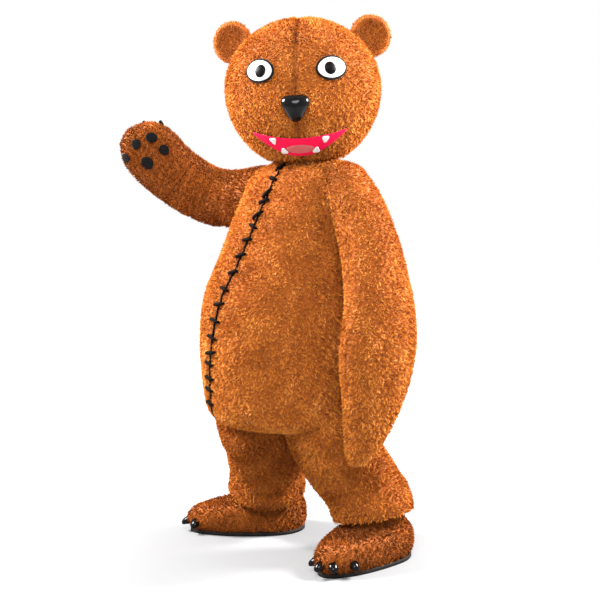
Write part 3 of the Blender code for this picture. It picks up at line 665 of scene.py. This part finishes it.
rightLeg = {
    "rows": [
        (-145, -10, -790, 160, 170, 165),
        (-160, -46, -880, 177, 182, 168),
        (-162, -50, -950, 168, 169, 161),
        (-178, -36, -1020, 152, 148, 146),
        (-200, -20, -1080, 144, 137, 137),
        (-217, -9, -1130, 143, 137, 137),
        (-226, -3, -1163, 146, 141, 140),
        (-235, 3, -1200, 140, 136, 135),
    ],
    "folds": [
        (-20, 1.9, 96, 1.7, 20, -10, 12),
        (-44, 2.9, 40, 2.7, 18, -8, -10),
        (20, 3.6, 110, 3.4, 18, -9, 12),
        (-60, 4.9, 30, 4.7, 15, -10, 8),
        (36, 5, 84, 4.8, 13, -11, -8),
        (-70, 5.9, 18, 5.9, 12, -11, 8),
        (20, 6.35, 120, 6.2, 14, 6, 4),
        (150, 2.4, 260, 2.8, 20, -10, 12),
        (120, 4.9, 240, 5.2, 16, -10, -10),
    ],
}
leftLeg = {
    "rows": [
        (145, 0, -790, 160, 165, 170),
        (154, 16, -880, 168, 168, 168),
        (158, 34, -950, 158, 158, 157),
        (170, 60, -1020, 143, 144, 142),
        (190, 90, -1075, 136, 137, 136),
        (208, 113, -1120, 138, 138, 139),
        (222, 128, -1160, 144, 141, 143),
        (231, 131, -1204, 140, 137, 138),
    ],
    "folds": [
        (-30, 2, 60, 1.9, 20, -8, 12),
        (10, 3, 100, 3.3, 20, -8, -12),
        (-30, 4.2, 46, 4, 16, -10, 8),
        (30, 4.9, 112, 5, 16, -10, 10),
        (-50, 5.6, 40, 5.9, 12, -12, -8),
        (44, 5.9, 130, 5.7, 13, -9, 6),
        (-20, 6.4, 110, 6.35, 14, 6, 4),
        (160, 2.6, 260, 2.9, 20, -10, 12),
        (130, 5, 236, 5.2, 16, -10, -10),
    ],
}

# Boot: rows from the floor under the ankle, toes to -Y
boot = {
    "rows": [
        (0, 0, 13.3, 104, 290, 124),
        (0, 0, 40, 115, 308, 134),
        (0, 0, 70, 117, 304, 134),
        (0, 0, 98, 112, 264, 131),
        (0, 0, 118, 100, 186, 116),
        (0, 0, 136, 89, 118, 101),
        (0, 0, 162, 83, 93, 93),
        (0, 0, 200, 80, 86, 86),
    ],
    "folds": [
        (-54, 4.5, 50, 4.6, 12, -8, 6),
        (-30, 3.6, 36, 3.7, 14, -6, -6),
        (60, 4, 120, 3.6, 14, -7, 8),
        (-120, 3.8, -62, 4.1, 14, -7, -8),
        (-22, 1.1, -27, 2.6, 9, -5, 2),
        (4, 1.1, 3, 2.6, 9, -5, 2),
    ],
    "right": ((-0.256, 0.032, floorHeight), -28.0),  # ankle and toe-out
    "left": ((0.238, 0.146, floorHeight), 14.0),
    "sole": 0.013,
    "soleEdge": 0.004,
    "clawRow": 1.1,
    "clawAngles": (-43, -21, 1, 25),  # outer side first
    "claw": (0.046, 0.019, 0.010),  # length, radius, droop
    "clawRoot": 0.027,  # how much of it starts inside the cloth
}

bodyTube = Tube(torso["rows"], folds=torso["folds"])
armTubes = {
    "right": Tube(rightArm["rows"], rightArm["palmFaces"], rightArm["folds"]),
    "left": Tube(leftArm["rows"], leftArm["palmFaces"], leftArm["folds"]),
}
legTubes = {
    "right": Tube(rightLeg["rows"], folds=rightLeg["folds"]),
    "left": Tube(leftLeg["rows"], folds=leftLeg["folds"]),
}
bootTubes = {
    side: Tube(boot["rows"], folds=boot["folds"], place=boot[side][0], turn=boot[side][1])
    for side in ("right", "left")
}


# The stitched seam's angle at a height: it leans from the left of the chest to the right of the belly.
def seamAngle(heights):
    share = np.clip((torso["leanFrom"] - heights) / (torso["leanFrom"] - torso["leanTo"]), 0, 1)
    return np.radians(torso["seamTop"] + (torso["seamFoot"] - torso["seamTop"]) * share**1.6)


# Painted shade: the pile below the armpit is painted darker close beside the sleeve, by strength * exp(-(gap
# to the sleeve / width)^2).
def shadedBesideSleeve(tube):
    def shade(points):
        gap = np.maximum(tube.outside(points), 0)
        below = np.clip((torso["armpit"] - points[:, 2]) / 0.10, 0, 1)
        return torso["sleeveShade"] * below * np.exp(-((gap / torso["sleeveShadeWidth"]) ** 2))

    return shade


# Keeps the tufts that stand outside these tubes, each given with the row where its piece starts.
def clearOf(*pairs):
    def keep(points):
        kept = np.ones(len(points), bool)
        for tube, first in pairs:
            kept &= tube.outside(points, first) > -fur["buried"] - cloth["pile"]
        return kept

    return keep


def seamDistance(points):
    heights = points[:, 2]
    angles = np.arctan2(points[:, 0], -points[:, 1])
    return np.abs(angles - seamAngle(heights)) * np.hypot(points[:, 0], points[:, 1])


starts = {"sleeve": 0.0, "leg": 0.3}  # the row where each piece begins


# The number of grid rows for a piece about this long.
def gridRows(length):
    return int(length / cloth["step"])


def buildTorso():
    count = gridRows(1.25)
    places = bodyTube.evenPlaces(0, bodyTube.last - 0.02, count)
    front = seamAngle(bodyTube.plain(0.0, places)[:, 2])
    quarter = math.pi / 2
    panels = {
        "torso_front_left": (front, np.full(count, quarter), "left"),
        "torso_back_left": (np.full(count, quarter), np.full(count, 2 * quarter), "left"),
        "torso_back_right": (np.full(count, -2 * quarter), np.full(count, -quarter), "right"),
        "torso_front_right": (np.full(count, -quarter), front, "right"),
    }
    for node, (start, end, side) in panels.items():
        share = np.linspace(0, 1, gridRows(0.52))
        angles = start[:, None] + (end - start)[:, None] * share
        arm = (armTubes[side], starts["sleeve"])
        clear = clearOf(arm, (legTubes["left"], starts["leg"]), (legTubes["right"], starts["leg"]))
        keep = lambda points: clear(points) & (seamDistance(points) > fur["seamClear"])
        cutters = [spaces[f"sleeve_{side}"], spaces["leg_left"], spaces["leg_right"]]
        looks = {"keep": keep, "cutters": cutters, "shade": shadedBesideSleeve(armTubes[side])}
        plush(node, bodyTube.skin, angles, places, **looks)


def buildArm(side, arm, **looks):
    tube = armTubes[side]
    wrist = arm["wrist"]
    places = tube.evenPlaces(starts["sleeve"], wrist, gridRows(0.5))
    keep = clearOf((bodyTube, 0.0))
    cutters = [spaces["torso"]]
    plush(f"sleeve_{side}", tube.skin, ringAngles(60), places, True, keep=keep, cutters=cutters, **looks)
    places = tube.evenPlaces(wrist, tube.last - 0.02, gridRows(0.42))
    for node, start in ((f"palm_{side}", -math.pi / 2), (f"hand_back_{side}", math.pi / 2)):
        angles = np.linspace(start, start + math.pi, 30)
        plush(node, tube.skin, angles, places, **looks)


def buildLeg(side, **looks):
    tube = legTubes[side]
    sign = 1 if side == "left" else -1
    clear = clearOf((bodyTube, 0.0))
    keep = lambda points: clear(points) & (sign * points[:, 0] > -0.002)
    places = tube.evenPlaces(starts["leg"], tube.last, gridRows(0.44))
    cutters = [spaces["torso"], spaces["half_right" if side == "left" else "half_left"]]
    plush(f"leg_{side}", tube.skin, ringAngles(84), places, True, keep=keep, cutters=cutters, **looks)


def buildBoot(side, **looks):
    tube = bootTubes[side]
    places = tube.evenPlaces(0, tube.last, gridRows(0.3))
    plush(f"boot_{side}_upper", tube.skin, ringAngles(80), places, True, nap=-1.0, **looks)
    around, bevel, thick = 160, 0.0015, boot["sole"]
    skin = tube.skin(ringAngles(around), np.zeros(around))
    centre, floor = tube.place[:2], tube.place[2]
    spoke = unit(skin[:, :2] - centre)
    edge = skin[:, :2] + boot["soleEdge"] * spoke
    rings = [
        np.column_stack([edge - spoke * back, np.full(around, floor + height)])
        for height, back in ((0.0, bevel), (bevel, 0.0), (thick - bevel, 0.0), (thick, bevel))
    ]
    points = np.concatenate([*rings, [[*centre, floor], [*centre, floor + thick]]])
    rim = np.arange(around)
    beside = np.roll(rim, -1)
    under = np.stack([beside, rim, np.full(around, 4 * around)], axis=-1)
    top = np.stack([3 * around + rim, 3 * around + beside, np.full(around, 4 * around + 1)], axis=-1)
    faces = [*gridQuads(4, around, 0, True), *under, *top]
    sole = addMesh(f"boot_{side}_outsole", points, faces, finish["rubber"])
    standsFor(f"boot_{side}_sole")


# The half of space to one side of the middle, as a cutter.
def halfSpace(name, sign):
    overlap, size, low = 0.0015, 0.5, floorHeight - 0.01
    near, far = -overlap * sign, size * sign
    points = np.array([(x, y, z) for x in (near, far) for y in (-size, size) for z in (low, 0.0)])
    faces = [(0, 1, 3, 2), (4, 6, 7, 5), (0, 4, 5, 1), (2, 3, 7, 6), (0, 2, 6, 4), (1, 5, 7, 3)]
    return addObject(name, plainMesh(name, points, faces if sign > 0 else [face[::-1] for face in faces]))


bodyPlaces = bodyTube.evenPlaces(0, bodyTube.last - 0.02, 60)
thick = cloth["pile"] + cloth["backing"]
spaces = {
    "torso": spaceIn("torso_space", bodyTube.skin, ringAngles(90), bodyPlaces, thick),
    "half_left": halfSpace("half_left", 1),
    "half_right": halfSpace("half_right", -1),
}
for side in ("right", "left"):
    arm, leg = armTubes[side], legTubes[side]
    for part, tube, count, end in (("sleeve", arm, 60, 5), ("leg", leg, 84, leg.last)):
        places = tube.evenPlaces(starts[part], end, 40)
        node = f"{part}_{side}"
        spaces[node] = spaceIn(f"{node}_space", tube.skin, ringAngles(count), places, cloth["pile"])


# Head: a round crown, a longer jaw and a soft muzzle, as a radius for each height below or above its centre
head = {
    "centre": (0.0, 0.0, 0.242),
    "radius": 0.264,
    "crown": 0.238,  # height above the middle, and the full jaw's depth below it
    "jaw": 0.270,
    "opening": 0.128,
    "nod": 3.0,
    "tilt": -2.2,
    "turn": 49.5,
    "muzzle": 0.026,
    "muzzleHeight": 0.075,
    "muzzleWidth": 0.095,
    # painted shade along the face's middle parting, and its width
    "partingShade": -0.13,
    "partingShadeWidth": 0.006,
}
headTurn = turned(head["nod"], head["tilt"], head["turn"])


# The radius at a drop below the centre: radius * sqrt(1 - (drop / half height)^2).
def headRadius(drops):
    share = np.clip(np.abs(drops) / np.where(drops < 0, head["crown"], head["jaw"]), 0, 1)
    return head["radius"] * np.sqrt(1 - share**2)


def headSkin(angles, drops):
    angles, drops = np.broadcast_arrays(np.asarray(angles, float), np.asarray(drops, float))
    radius = headRadius(drops)
    x, y = radius * np.sin(angles), -radius * np.cos(angles)
    low = 1 - drops / head["muzzleHeight"]
    muzzle = head["muzzle"] * np.exp(-((x / head["muzzleWidth"]) ** 2) - low**2) * (y < 0)
    return np.stack([x, y - muzzle, -drops], axis=-1) @ headTurn.T + head["centre"]


def onHead(points):
    return (points - np.array(head["centre"])) @ headTurn


def headOutside(points):
    x, y, z = onHead(points).T
    return np.hypot(x, y) - headRadius(-z)


# The mouth's edges: heights of the lower and upper lip, share from -1 to 1 across it.
mouth = {
    "reach": 41.0,
    "corner": -0.138,
    "low": 0.074,
    "high": 0.024,
    "grid": (20, 90),
    "height": 0.078,  # of its felt when flat
    "flatShare": 0.6,  # its area in its rectangle's
}


def mouthEdges(share):
    lower = mouth["corner"] - 0.004 - mouth["low"] * (1 - np.abs(share) ** 2.4)
    upper = mouth["corner"] + 0.004 - mouth["high"] * (1 - np.abs(share) ** 2)
    return lower, upper


eyes = {
    "angle": 27.0,
    "height": 0.060,
    "lean": 8.0,
    "rim": (0.054, 0.040),  # half width and half height
    "white": (0.047, 0.033),
    "pupil": (0.019, 0.021),
    "pupilAngle": 25.5,
    "pupilHeight": 0.058,
    "pupilDepth": 0.007,
}
nose = {"drop": 0.056, "halfWidth": 0.040, "height": 0.078, "roundness": 0.16, "depth": 0.036, "clear": 0.036}
tongue = {"size": (0.046, 0.020), "above": 0.024}
teeth = {
    "places": ((-0.56, -1), (0.56, -1), (-0.40, 1), (0.40, 1)),  # share of the mouth, 1 where it points up
    "outline": (0.0105, 0.026, 0.18),  # half width, height, roundness
    "size": (0.022, 0.028),
    "below": 0.010,  # from the upper edge, and from the lower one
    "above": 0.012,
}


def offFace(points):
    across, depth, height = onHead(points).T
    angle, around = np.arctan2(across, -depth), np.hypot(across, depth)
    share = angle / math.radians(mouth["reach"])
    lower, upper = mouthEdges(np.clip(share, -1, 1))
    kept = ~((np.abs(share) < 1) & (height > lower + 0.003) & (height < upper - 0.003))
    for sign in (1, -1):
        x = (angle - math.radians(sign * eyes["angle"])) * around
        z = height - eyes["height"]
        lean = math.radians(sign * eyes["lean"])
        x, z = x * math.cos(lean) + z * math.sin(lean), z * math.cos(lean) - x * math.sin(lean)
        kept &= np.hypot(x / (eyes["rim"][0] - 0.002), z / (eyes["rim"][1] - 0.002)) > 1
    kept &= np.hypot(angle * around, height + nose["drop"]) > nose["clear"]
    return kept


# Painted shade: the pile parts along the middle of the face, and the tufts there are painted darker as the
# shade in the parting.
def shadeAlongParting(points):
    x, y, z = onHead(points).T
    return head["partingShade"] * np.exp(-((x / head["partingShadeWidth"]) ** 2)) * (y < 0)


def buildHead():
    opening = head["jaw"] * math.sqrt(1 - (head["opening"] / head["radius"]) ** 2)
    upper = -head["crown"] * np.cos(np.linspace(0.008, math.pi / 2, 34))
    lower = opening * np.sin(np.linspace(0, 1, 30)[1:] * 1.46) / math.sin(1.46)
    places = np.concatenate([upper, lower])
    quarter = math.pi / 2
    panels = {"face_left": 0, "back_left": quarter, "back_right": -2 * quarter, "face_right": -quarter}
    for name, start in panels.items():
        angles = np.linspace(start, start + quarter, 38)
        keep = lambda points: offFace(points) & offEars(points)
        looks = {"wall": cloth["headWall"], "shade": shadeAlongParting}
        plush(f"head_{name}", headSkin, angles, places, keep=keep, **looks)


ear = {
    "place": (0.233, 0.010, 0.164),
    "pitch": 33.0,
    "splay": 14.0,
    "half": 0.0002,  # half the gap between front and back
    "pile": 0.005,
    "dish": -0.42,
    "dishRadius": 0.062,
    "dishEdge": 0.014,
    "clear": (0.068, 0.016),  # no tufts of the head this close to its axis and its middle
    "front": [(0.0, 0.010), (0.030, 0.011), (0.052, 0.017), (0.064, 0.015), (0.070, 0.0)],
    "back": [(0.0, 0.027), (0.030, 0.025), (0.052, 0.019), (0.065, 0.010), (0.070, 0.0)],
}


def earFrame(sign):
    x, y, z = ear["place"]
    turn = turned(0, sign * ear["pitch"], sign * ear["splay"])
    return headTurn @ turn, (sign * x, y, z) @ headTurn.T + head["centre"]


def offEars(points):
    kept = np.ones(len(points), bool)
    for sign in (1, -1):
        turn, place = earFrame(sign)
        x, y, z = ((points - place) @ turn).T
        kept &= (np.hypot(x, z) > ear["clear"][0]) | (np.abs(y) > ear["clear"][1])
    return kept


def buildEar(side, sign, half, way):
    turn, place = earFrame(sign)
    rings, around = 22, 64
    ring, angle = np.meshgrid(np.linspace(4, 0.02, rings), ringAngles(around), indexing="ij")
    profile = along(ear[half], ring)
    radius = profile[..., 0]

    def inFrame(depth):
        flat = np.stack([radius * np.cos(angle), way * depth, radius * np.sin(angle)], axis=-1)
        return flat @ turn.T + place

    outer = inFrame(np.maximum(profile[..., 1], ear["half"]))
    slopes = np.cross(np.gradient(outer, axis=0), np.roll(outer, -1, axis=1) - np.roll(outer, 1, axis=1))
    up = unit(slopes) * way
    up *= np.sign((up[-1] @ (turn @ np.array([0, way, 0]))).mean())
    face = outer - ear["pile"] * up * np.clip((4 - ring) * 2, 0, 1)[..., None]
    base = inFrame(np.full_like(radius, ear["half"]))
    node = f"ear_{side}_{half}"
    faces = lensFaces(rings, around, way > 0)
    body = addMesh(f"{node}_pad", np.stack([face, base]), faces, finish["backing"])
    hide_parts(node)
    face, up = (np.concatenate([field, field[:, :1]], axis=1) for field in (face, up))
    keep = lambda points: headOutside(points) > -fur["buried"]

    # The front's dish is darker inside its rim.
    def dish(points):
        x, y, z = ((points - place) @ turn).T
        inside = (ear["dishRadius"] - np.hypot(x, z)) / ear["dishEdge"]
        return ear["dish"] * np.clip(inside, 0, 1) * (way < 0)

    nap = -unit(np.gradient(face, axis=0))
    tufts(f"{node}_pile", face, up, nap, keep, shade=dish, gap=0.85, length=0.55, width=0.75)


def buildEars():
    for side, sign in (("left", 1), ("right", -1)):
        for half, way in (("front", -1), ("back", 1)):
            buildEar(side, sign, half, way)


print("tables done")
buildTorso()
# The raised paw, the legs and the boots have their pile painted darker: painted shade where less light falls
# on them.
buildArm("right", rightArm, shade=-0.40)
buildArm("left", leftArm)
buildLeg("right", shade=-0.19)
buildLeg("left", shade=-0.10)
buildBoot("right", shade=-0.36)
buildBoot("left", shade=-0.42)
buildHead()
buildEars()
for space in spaces.values():
    bpy.data.objects.remove(space)
print("plush done")


# Felt, plastic and thread

feltThickness = 0.002
feltLift = 0.0015
layer = 0.0023  # from one felt piece to the next on it
ovalShare = 0.785  # an oval's area in its rectangle's


# A piece laid on a skin: rings of its outline shrink to its centre. The front stands height(share) above the
# skin, the share running from 1 at the edge to 0 at the centre, and the back lies lift above it.
def laid(name, skin, centre, outline, rings, lift, height, material):
    step = 1e-3
    u0, v0 = centre
    perU = np.linalg.norm(skin(u0 + step, v0) - skin(u0 - step, v0)) / (2 * step)
    perV = np.linalg.norm(skin(u0, v0 + step) - skin(u0, v0 - step)) / (2 * step)
    around, across = rings
    x, y = outline(ringAngles(around))
    shares = np.linspace(1, 0.02, across)[:, None]
    u, v = u0 + shares * x / perU, v0 - shares * y / perV
    base, up = skin(u, v), normals(skin, u, v)
    front = base + height(shares)[..., None] * up
    back = base + lift * up
    return addMesh(name, np.stack([front, back]), lensFaces(across, around), finish[material])


def oval(halfWidth, halfHeight, lean=0.0):
    c, s = math.cos(math.radians(lean)), math.sin(math.radians(lean))

    def outline(angles):
        x, y = halfWidth * np.cos(angles), halfHeight * np.sin(angles)
        return x * c - y * s, x * s + y * c

    return outline


# A rounded triangle: its reach grows by 1 / (1 - roundness * cos(three times the angle from a corner)).
def triangle(halfWidth, height, roundness, up):
    def outline(angles):
        reach = 1 / (1 - roundness * np.cos(3 * (angles - math.pi / 2 * up)))
        return halfWidth * reach * np.cos(angles), height / 2 * reach * np.sin(angles)

    return outline


# Felt stands by its thickness, with its edge pressed down a little.
def feltHeight(lift):
    return lambda share: lift + feltThickness - 0.0008 * share**12


def domeHeight(thickness, rim=0.003):
    return lambda share: rim + (thickness - rim) * np.sqrt(np.clip(1 - share**2, 0, 1))


# A felt piece on a skin, and how many layers lie under it.
def felt(node, skin, centre, outline, rings, size, slot, under=0):
    lift = feltLift + under * layer
    piece = laid(f"{node}_felt", skin, centre, outline, rings, lift, feltHeight(lift), slot)
    standsFor(node)
    ovalShare * size[0] * size[1]


def buildFace():
    for side, sign in (("left", 1), ("right", -1)):
        centre = (math.radians(sign * eyes["angle"]), -eyes["height"])
        for under, part, slot in ((0, "rim", "black_felt"), (1, "white", "white_felt")):
            width, height = eyes[part]
            outline = oval(width, height, sign * eyes["lean"])
            size = (2 * width, 2 * height)
            felt(f"eye_{side}_{part}", headSkin, centre, outline, (72, 14), size, slot, under)
        centre = (math.radians(sign * eyes["pupilAngle"]), -eyes["pupilHeight"])
        lift = feltLift + 2 * layer
        dome = domeHeight(eyes["pupilDepth"] + lift, lift)
        node, outline = f"eye_{side}_pupil", oval(*eyes["pupil"])
        pupil = laid(f"{node}_dome", headSkin, centre, outline, (48, 12), lift, dome, "dull")
        standsFor(node)
    outline = triangle(nose["halfWidth"], nose["height"], nose["roundness"], -1)
    dome = domeHeight(nose["depth"])
    tip = laid("nose_dome", headSkin, (0.0, nose["drop"]), outline, (72, 24), feltLift, dome, "gloss")
    standsFor("nose")

    rows, cols = mouth["grid"]
    share = np.linspace(-1, 1, cols)
    lower, upper = mouthEdges(share)
    heights = upper + (lower - upper) * np.linspace(0, 1, rows)[:, None]
    angles = np.broadcast_to(math.radians(mouth["reach"]) * share, heights.shape)
    base, up = headSkin(angles, -heights), normals(headSkin, angles, -heights)
    points = np.stack([base + (feltLift + feltThickness) * up, base + feltLift * up])
    lips = addMesh("mouth_felt_sheet", points, wallFaces(rows, cols, False), finish["red_felt"])
    standsFor("mouth_felt")
    width = float(np.linalg.norm(np.diff(base[rows // 2], axis=0), axis=-1).sum())

    lowest = float(mouthEdges(np.array(0.0))[0])
    centre = (0.0, -lowest - tongue["above"])
    width, height = tongue["size"]
    size = (2 * width, 2 * height)
    felt("mouth_tongue", headSkin, centre, oval(width, height), (64, 10), size, "pink_felt", 1)
    for i, (at, way) in enumerate(teeth["places"]):
        lower, upper = (float(edge) for edge in mouthEdges(np.array(at)))
        height = upper - teeth["below"] if way < 0 else lower + teeth["above"]
        centre = (math.radians(mouth["reach"] * at), -height)
        outline = triangle(*teeth["outline"], way)
        felt(f"tooth_{i + 1}", headSkin, centre, outline, (48, 8), teeth["size"], "white_felt", 2)


pads = [  # name, angle, row, half width, half height
    ("pad_palm", 13, 7.3, 0.021, 0.024),
    ("pad_finger_1", 52, 8.25, 0.017, 0.018),
    ("pad_finger_2", 12, 8.85, 0.017, 0.018),
    ("pad_finger_3", -25, 8.65, 0.019, 0.020),
    ("pad_finger_4", -28, 7.3, 0.018, 0.019),
]


def buildPads():
    for node, angle, row, width, height in pads:
        centre = (math.radians(angle), row)
        size = (2 * width, 2 * height)
        felt(node, armTubes["right"].skin, centre, oval(width, height), (56, 10), size, "black_felt")


# A blunt claw from base along a way: its radius is radius * cos(turn)^0.7 while the turn goes from 0 at the
# root to a quarter circle at the tip, and it droops by droop * sin(turn)^2.
def claw(node, base, way, up, size):
    length, radius, droop = size
    rings, around = 16, 28
    turns = np.linspace(0, math.pi / 2 - 0.03, rings)
    turn, angle = np.meshgrid(turns, ringAngles(around), indexing="ij")
    ahead = unit(np.asarray(way, float))
    side = unit(np.cross(up, ahead))
    top = np.cross(ahead, side)
    thick = radius * np.cos(turn) ** 0.7
    x = length * np.sin(turn)
    y = thick * np.cos(angle)
    z = 0.85 * thick * np.sin(angle) - droop * np.sin(turn) ** 2
    points = base + x[..., None] * ahead + y[..., None] * side + z[..., None] * top
    first = np.arange(around)
    faces = [*gridQuads(rings, around, 0, True), first[::-1], first + (rings - 1) * around]
    piece = addMesh(f"{node}_horn", points, faces, finish["gloss"])
    standsFor(node)


def buildClaws():
    for side, outer in (("right", -1), ("left", 1)):
        tube = bootTubes[side]
        plain = Tube(boot["rows"])
        for i, turn in enumerate(boot["clawAngles"]):
            angle = np.array(math.radians(outer * turn))
            row = np.array(boot["clawRow"])
            out = normals(plain.plain, angle, row)
            out[2] = -0.1
            base = plain.plain(angle, row) - boot["clawRoot"] * out
            base, out = base @ tube.turn.T + tube.place, out @ tube.turn.T
            claw(f"claw_foot_{side}_{i + 1}", base, out, (0, 0, 1), boot["claw"])
    tube = armTubes["right"]
    centre, side, _ = tube.axes(np.array(9.0))
    way = unit(tube.axes(np.array(9.6))[0] - centre)
    for i, share in enumerate(rightArm["clawShares"]):
        place = np.array(rightArm["clawRow"] - rightArm["clawBow"] * share**2)
        angle = np.array(math.radians(180 - rightArm["clawReach"] * share))
        out = normals(tube.plain, angle, place)
        spread = way + 0.5 * share * side
        base = tube.plain(angle, place) - rightArm["clawRoot"] * spread
        claw(f"claw_hand_{i + 1}", base, spread + 0.5 * out, out, rightArm["claw"])


# A thread's mesh: rings of its radius along its points.
def threadRings(points, radius):
    around, ways = 8, unit(np.gradient(points, axis=0))
    side = unit(np.cross(ways, (0.31, 0.17, 0.93)))
    other = np.cross(ways, side)
    angles = ringAngles(around)[None, :, None]
    taper = np.asarray(radius)[:, None, None] if np.ndim(radius) else radius
    rings = points[:, None] + taper * (np.cos(angles) * side[:, None] + np.sin(angles) * other[:, None])
    count, first = len(points), np.arange(around)
    caps = [first, (first + (count - 1) * around)[::-1]]
    return rings.reshape(-1, 3), [*gridQuads(count, around, 0, True, True)] + caps


stitching = {
    "cord": 0.0036,  # radius
    "thread": 0.0064,
    "above": -0.0030,  # how far above the tips the cord lies
    "lift": 0.0045,  # and the middle of a stitch
    "dip": 0.008,  # of its ends
    "bend": 0.10,  # of its length
    "thinning": 0.35,
    "gaps": (24, 40, 52, 30, 49, 33, 43, 46, 46, 53, 50, 53, 56, 53, 37, 50, 40, 47),  # mm down the seam
    "leans": (24, -6, 46, 22, 34, -12, 6, 14, 12, -14, 10, -10, -14, 8, -12, -6, -10, -8),
    "lengths": (46, 40, 40, 42, 42, 42, 44, 42, 40, 42, 46, 48, 50, 52, 50, 54, 52, 48),  # mm
}


def seamPoint(heights, across, lift):
    places = np.interp(-heights, -bodyTube.rows[:, 2], np.arange(bodyTube.last + 1))
    angles = seamAngle(heights) + across / 0.30
    return bodyTube.skin(angles, places) + lift[:, None] * normals(bodyTube.skin, angles, places)


def buildStitches():
    heights = np.linspace(0.0, -0.862, 260)
    wander = 0.0016 * np.sin(heights * 120) + 0.0012 * np.sin(heights * 290 + 1.3)
    points = seamPoint(heights, wander, np.full(len(heights), stitching["above"]))
    addMesh("front_seam_cord", *threadRings(points, stitching["cord"]), finish["thread"])
    allPoints, allFaces, start, height = [], [], 0, 0.0
    for gap, lean, length in zip(stitching["gaps"], stitching["leans"], stitching["lengths"]):
        height -= gap / 1000
        t = np.linspace(-0.5, 0.5, 15)
        bend = stitching["bend"] * (t**2 - 0.08) * math.copysign(1, lean + 0.5)
        across = length / 1000 * (t * math.cos(math.radians(lean)) + bend * 0.4)
        rise = length / 1000 * (t * math.sin(math.radians(lean)) + bend)
        lift = stitching["lift"] - stitching["dip"] * (2 * np.abs(t)) ** 8
        radius = stitching["thread"] * (1 - stitching["thinning"] * (2 * np.abs(t)) ** 3)
        rings, faces = threadRings(seamPoint(height + rise, across, lift), radius)
        allPoints.append(rings)
        allFaces += [face + start for face in faces]
        start += len(rings)
    addMesh("front_seam_stitches", np.concatenate(allPoints), allFaces, finish["thread"])


buildFace()
buildPads()
buildClaws()
buildStitches()
print("face, pads, claws and stitches done")


# Floor, light and camera

studio = {"azimuth": 55.0, "distance": 4.28, "height": 0.0, "pitch": 6.36, "lens": 75.0, "shift": -0.005}

# Painted shade: the floor's colour is dark near the suit and turns white a few metres out, so that under the
# lamps it shows a soft grey shadow round the feet and stays white where the lamps hardly reach.
floorShader = Shader("floor_painted_shade", Roughness=0.9, Specular_IOR_Level=0.1)
reach = floorShader.node("ShaderNodeVectorMath", {"operation": "LENGTH"}, {0: floorShader.place()}, "Value")
mottle = floorShader.noise(1.5)
floorShadeByReach = floorShader.ramp(
    reach * 0.1 + mottle * 0.01,
    (0.05, (0.125, 0.125, 0.127)),
    (0.17, (0.22, 0.22, 0.22)),
    (0.6, (0.97, 0.97, 0.97)),
    (0.9, (1, 1, 1)),
)
angles, radii = np.meshgrid(ringAngles(96), np.array([12.0, 0.001]), indexing="xy")
floorPoints = np.stack([radii * np.cos(angles), radii * np.sin(angles), 0 * radii + floorHeight], axis=-1)
floorMesh = plainMesh("floor", floorPoints, gridQuads(2, 96, 0, True))
floorMesh.materials.append(floorShader.feed(Base_Color=floorShadeByReach))
addObject("floor", floorMesh)

world = bpy.data.worlds.new("studio_white")
world.use_nodes = True
world.node_tree.nodes["Background"].inputs["Color"].default_value = (1, 1, 1, 1)
world.node_tree.nodes["Background"].inputs["Strength"].default_value = 1.0
bpy.context.scene.world = world


# Puts a thing at an azimuth, distance and height round the suit, facing its axis and tipped down by fall.
def aim(thing, azimuth, distance, height, fall):
    turn = math.radians(azimuth)
    thing.location = (distance * math.sin(turn), -distance * math.cos(turn), height)
    thing.rotation_euler = (math.pi / 2 - fall, 0, turn)


# A round soft light facing a point 0.3 m below the shoulders.
def softLight(name, azimuth, distance, height, size, power):
    light = bpy.data.lights.new(name, "AREA")
    light.shape = "DISK"
    light.size = size
    light.energy = power
    aim(addObject(name, light), azimuth, distance, height, math.atan2(height + 0.3, distance))


softLight("left", -42, 3.0, 1.7, 1.5, 700)
softLight("right", 150, 3.0, 1.5, 1.5, 760)
softLight("front", 50, 3.4, 2.4, 1.8, 195)

camera = addObject("camera", bpy.data.cameras.new("camera"))
camera.data.lens = studio["lens"]
camera.data.shift_x = studio["shift"]
aim(camera, studio["azimuth"], studio["distance"], studio["height"], math.radians(studio["pitch"]))
bpy.context.scene.camera = camera
bpy.context.scene.view_settings.view_transform = "Standard"
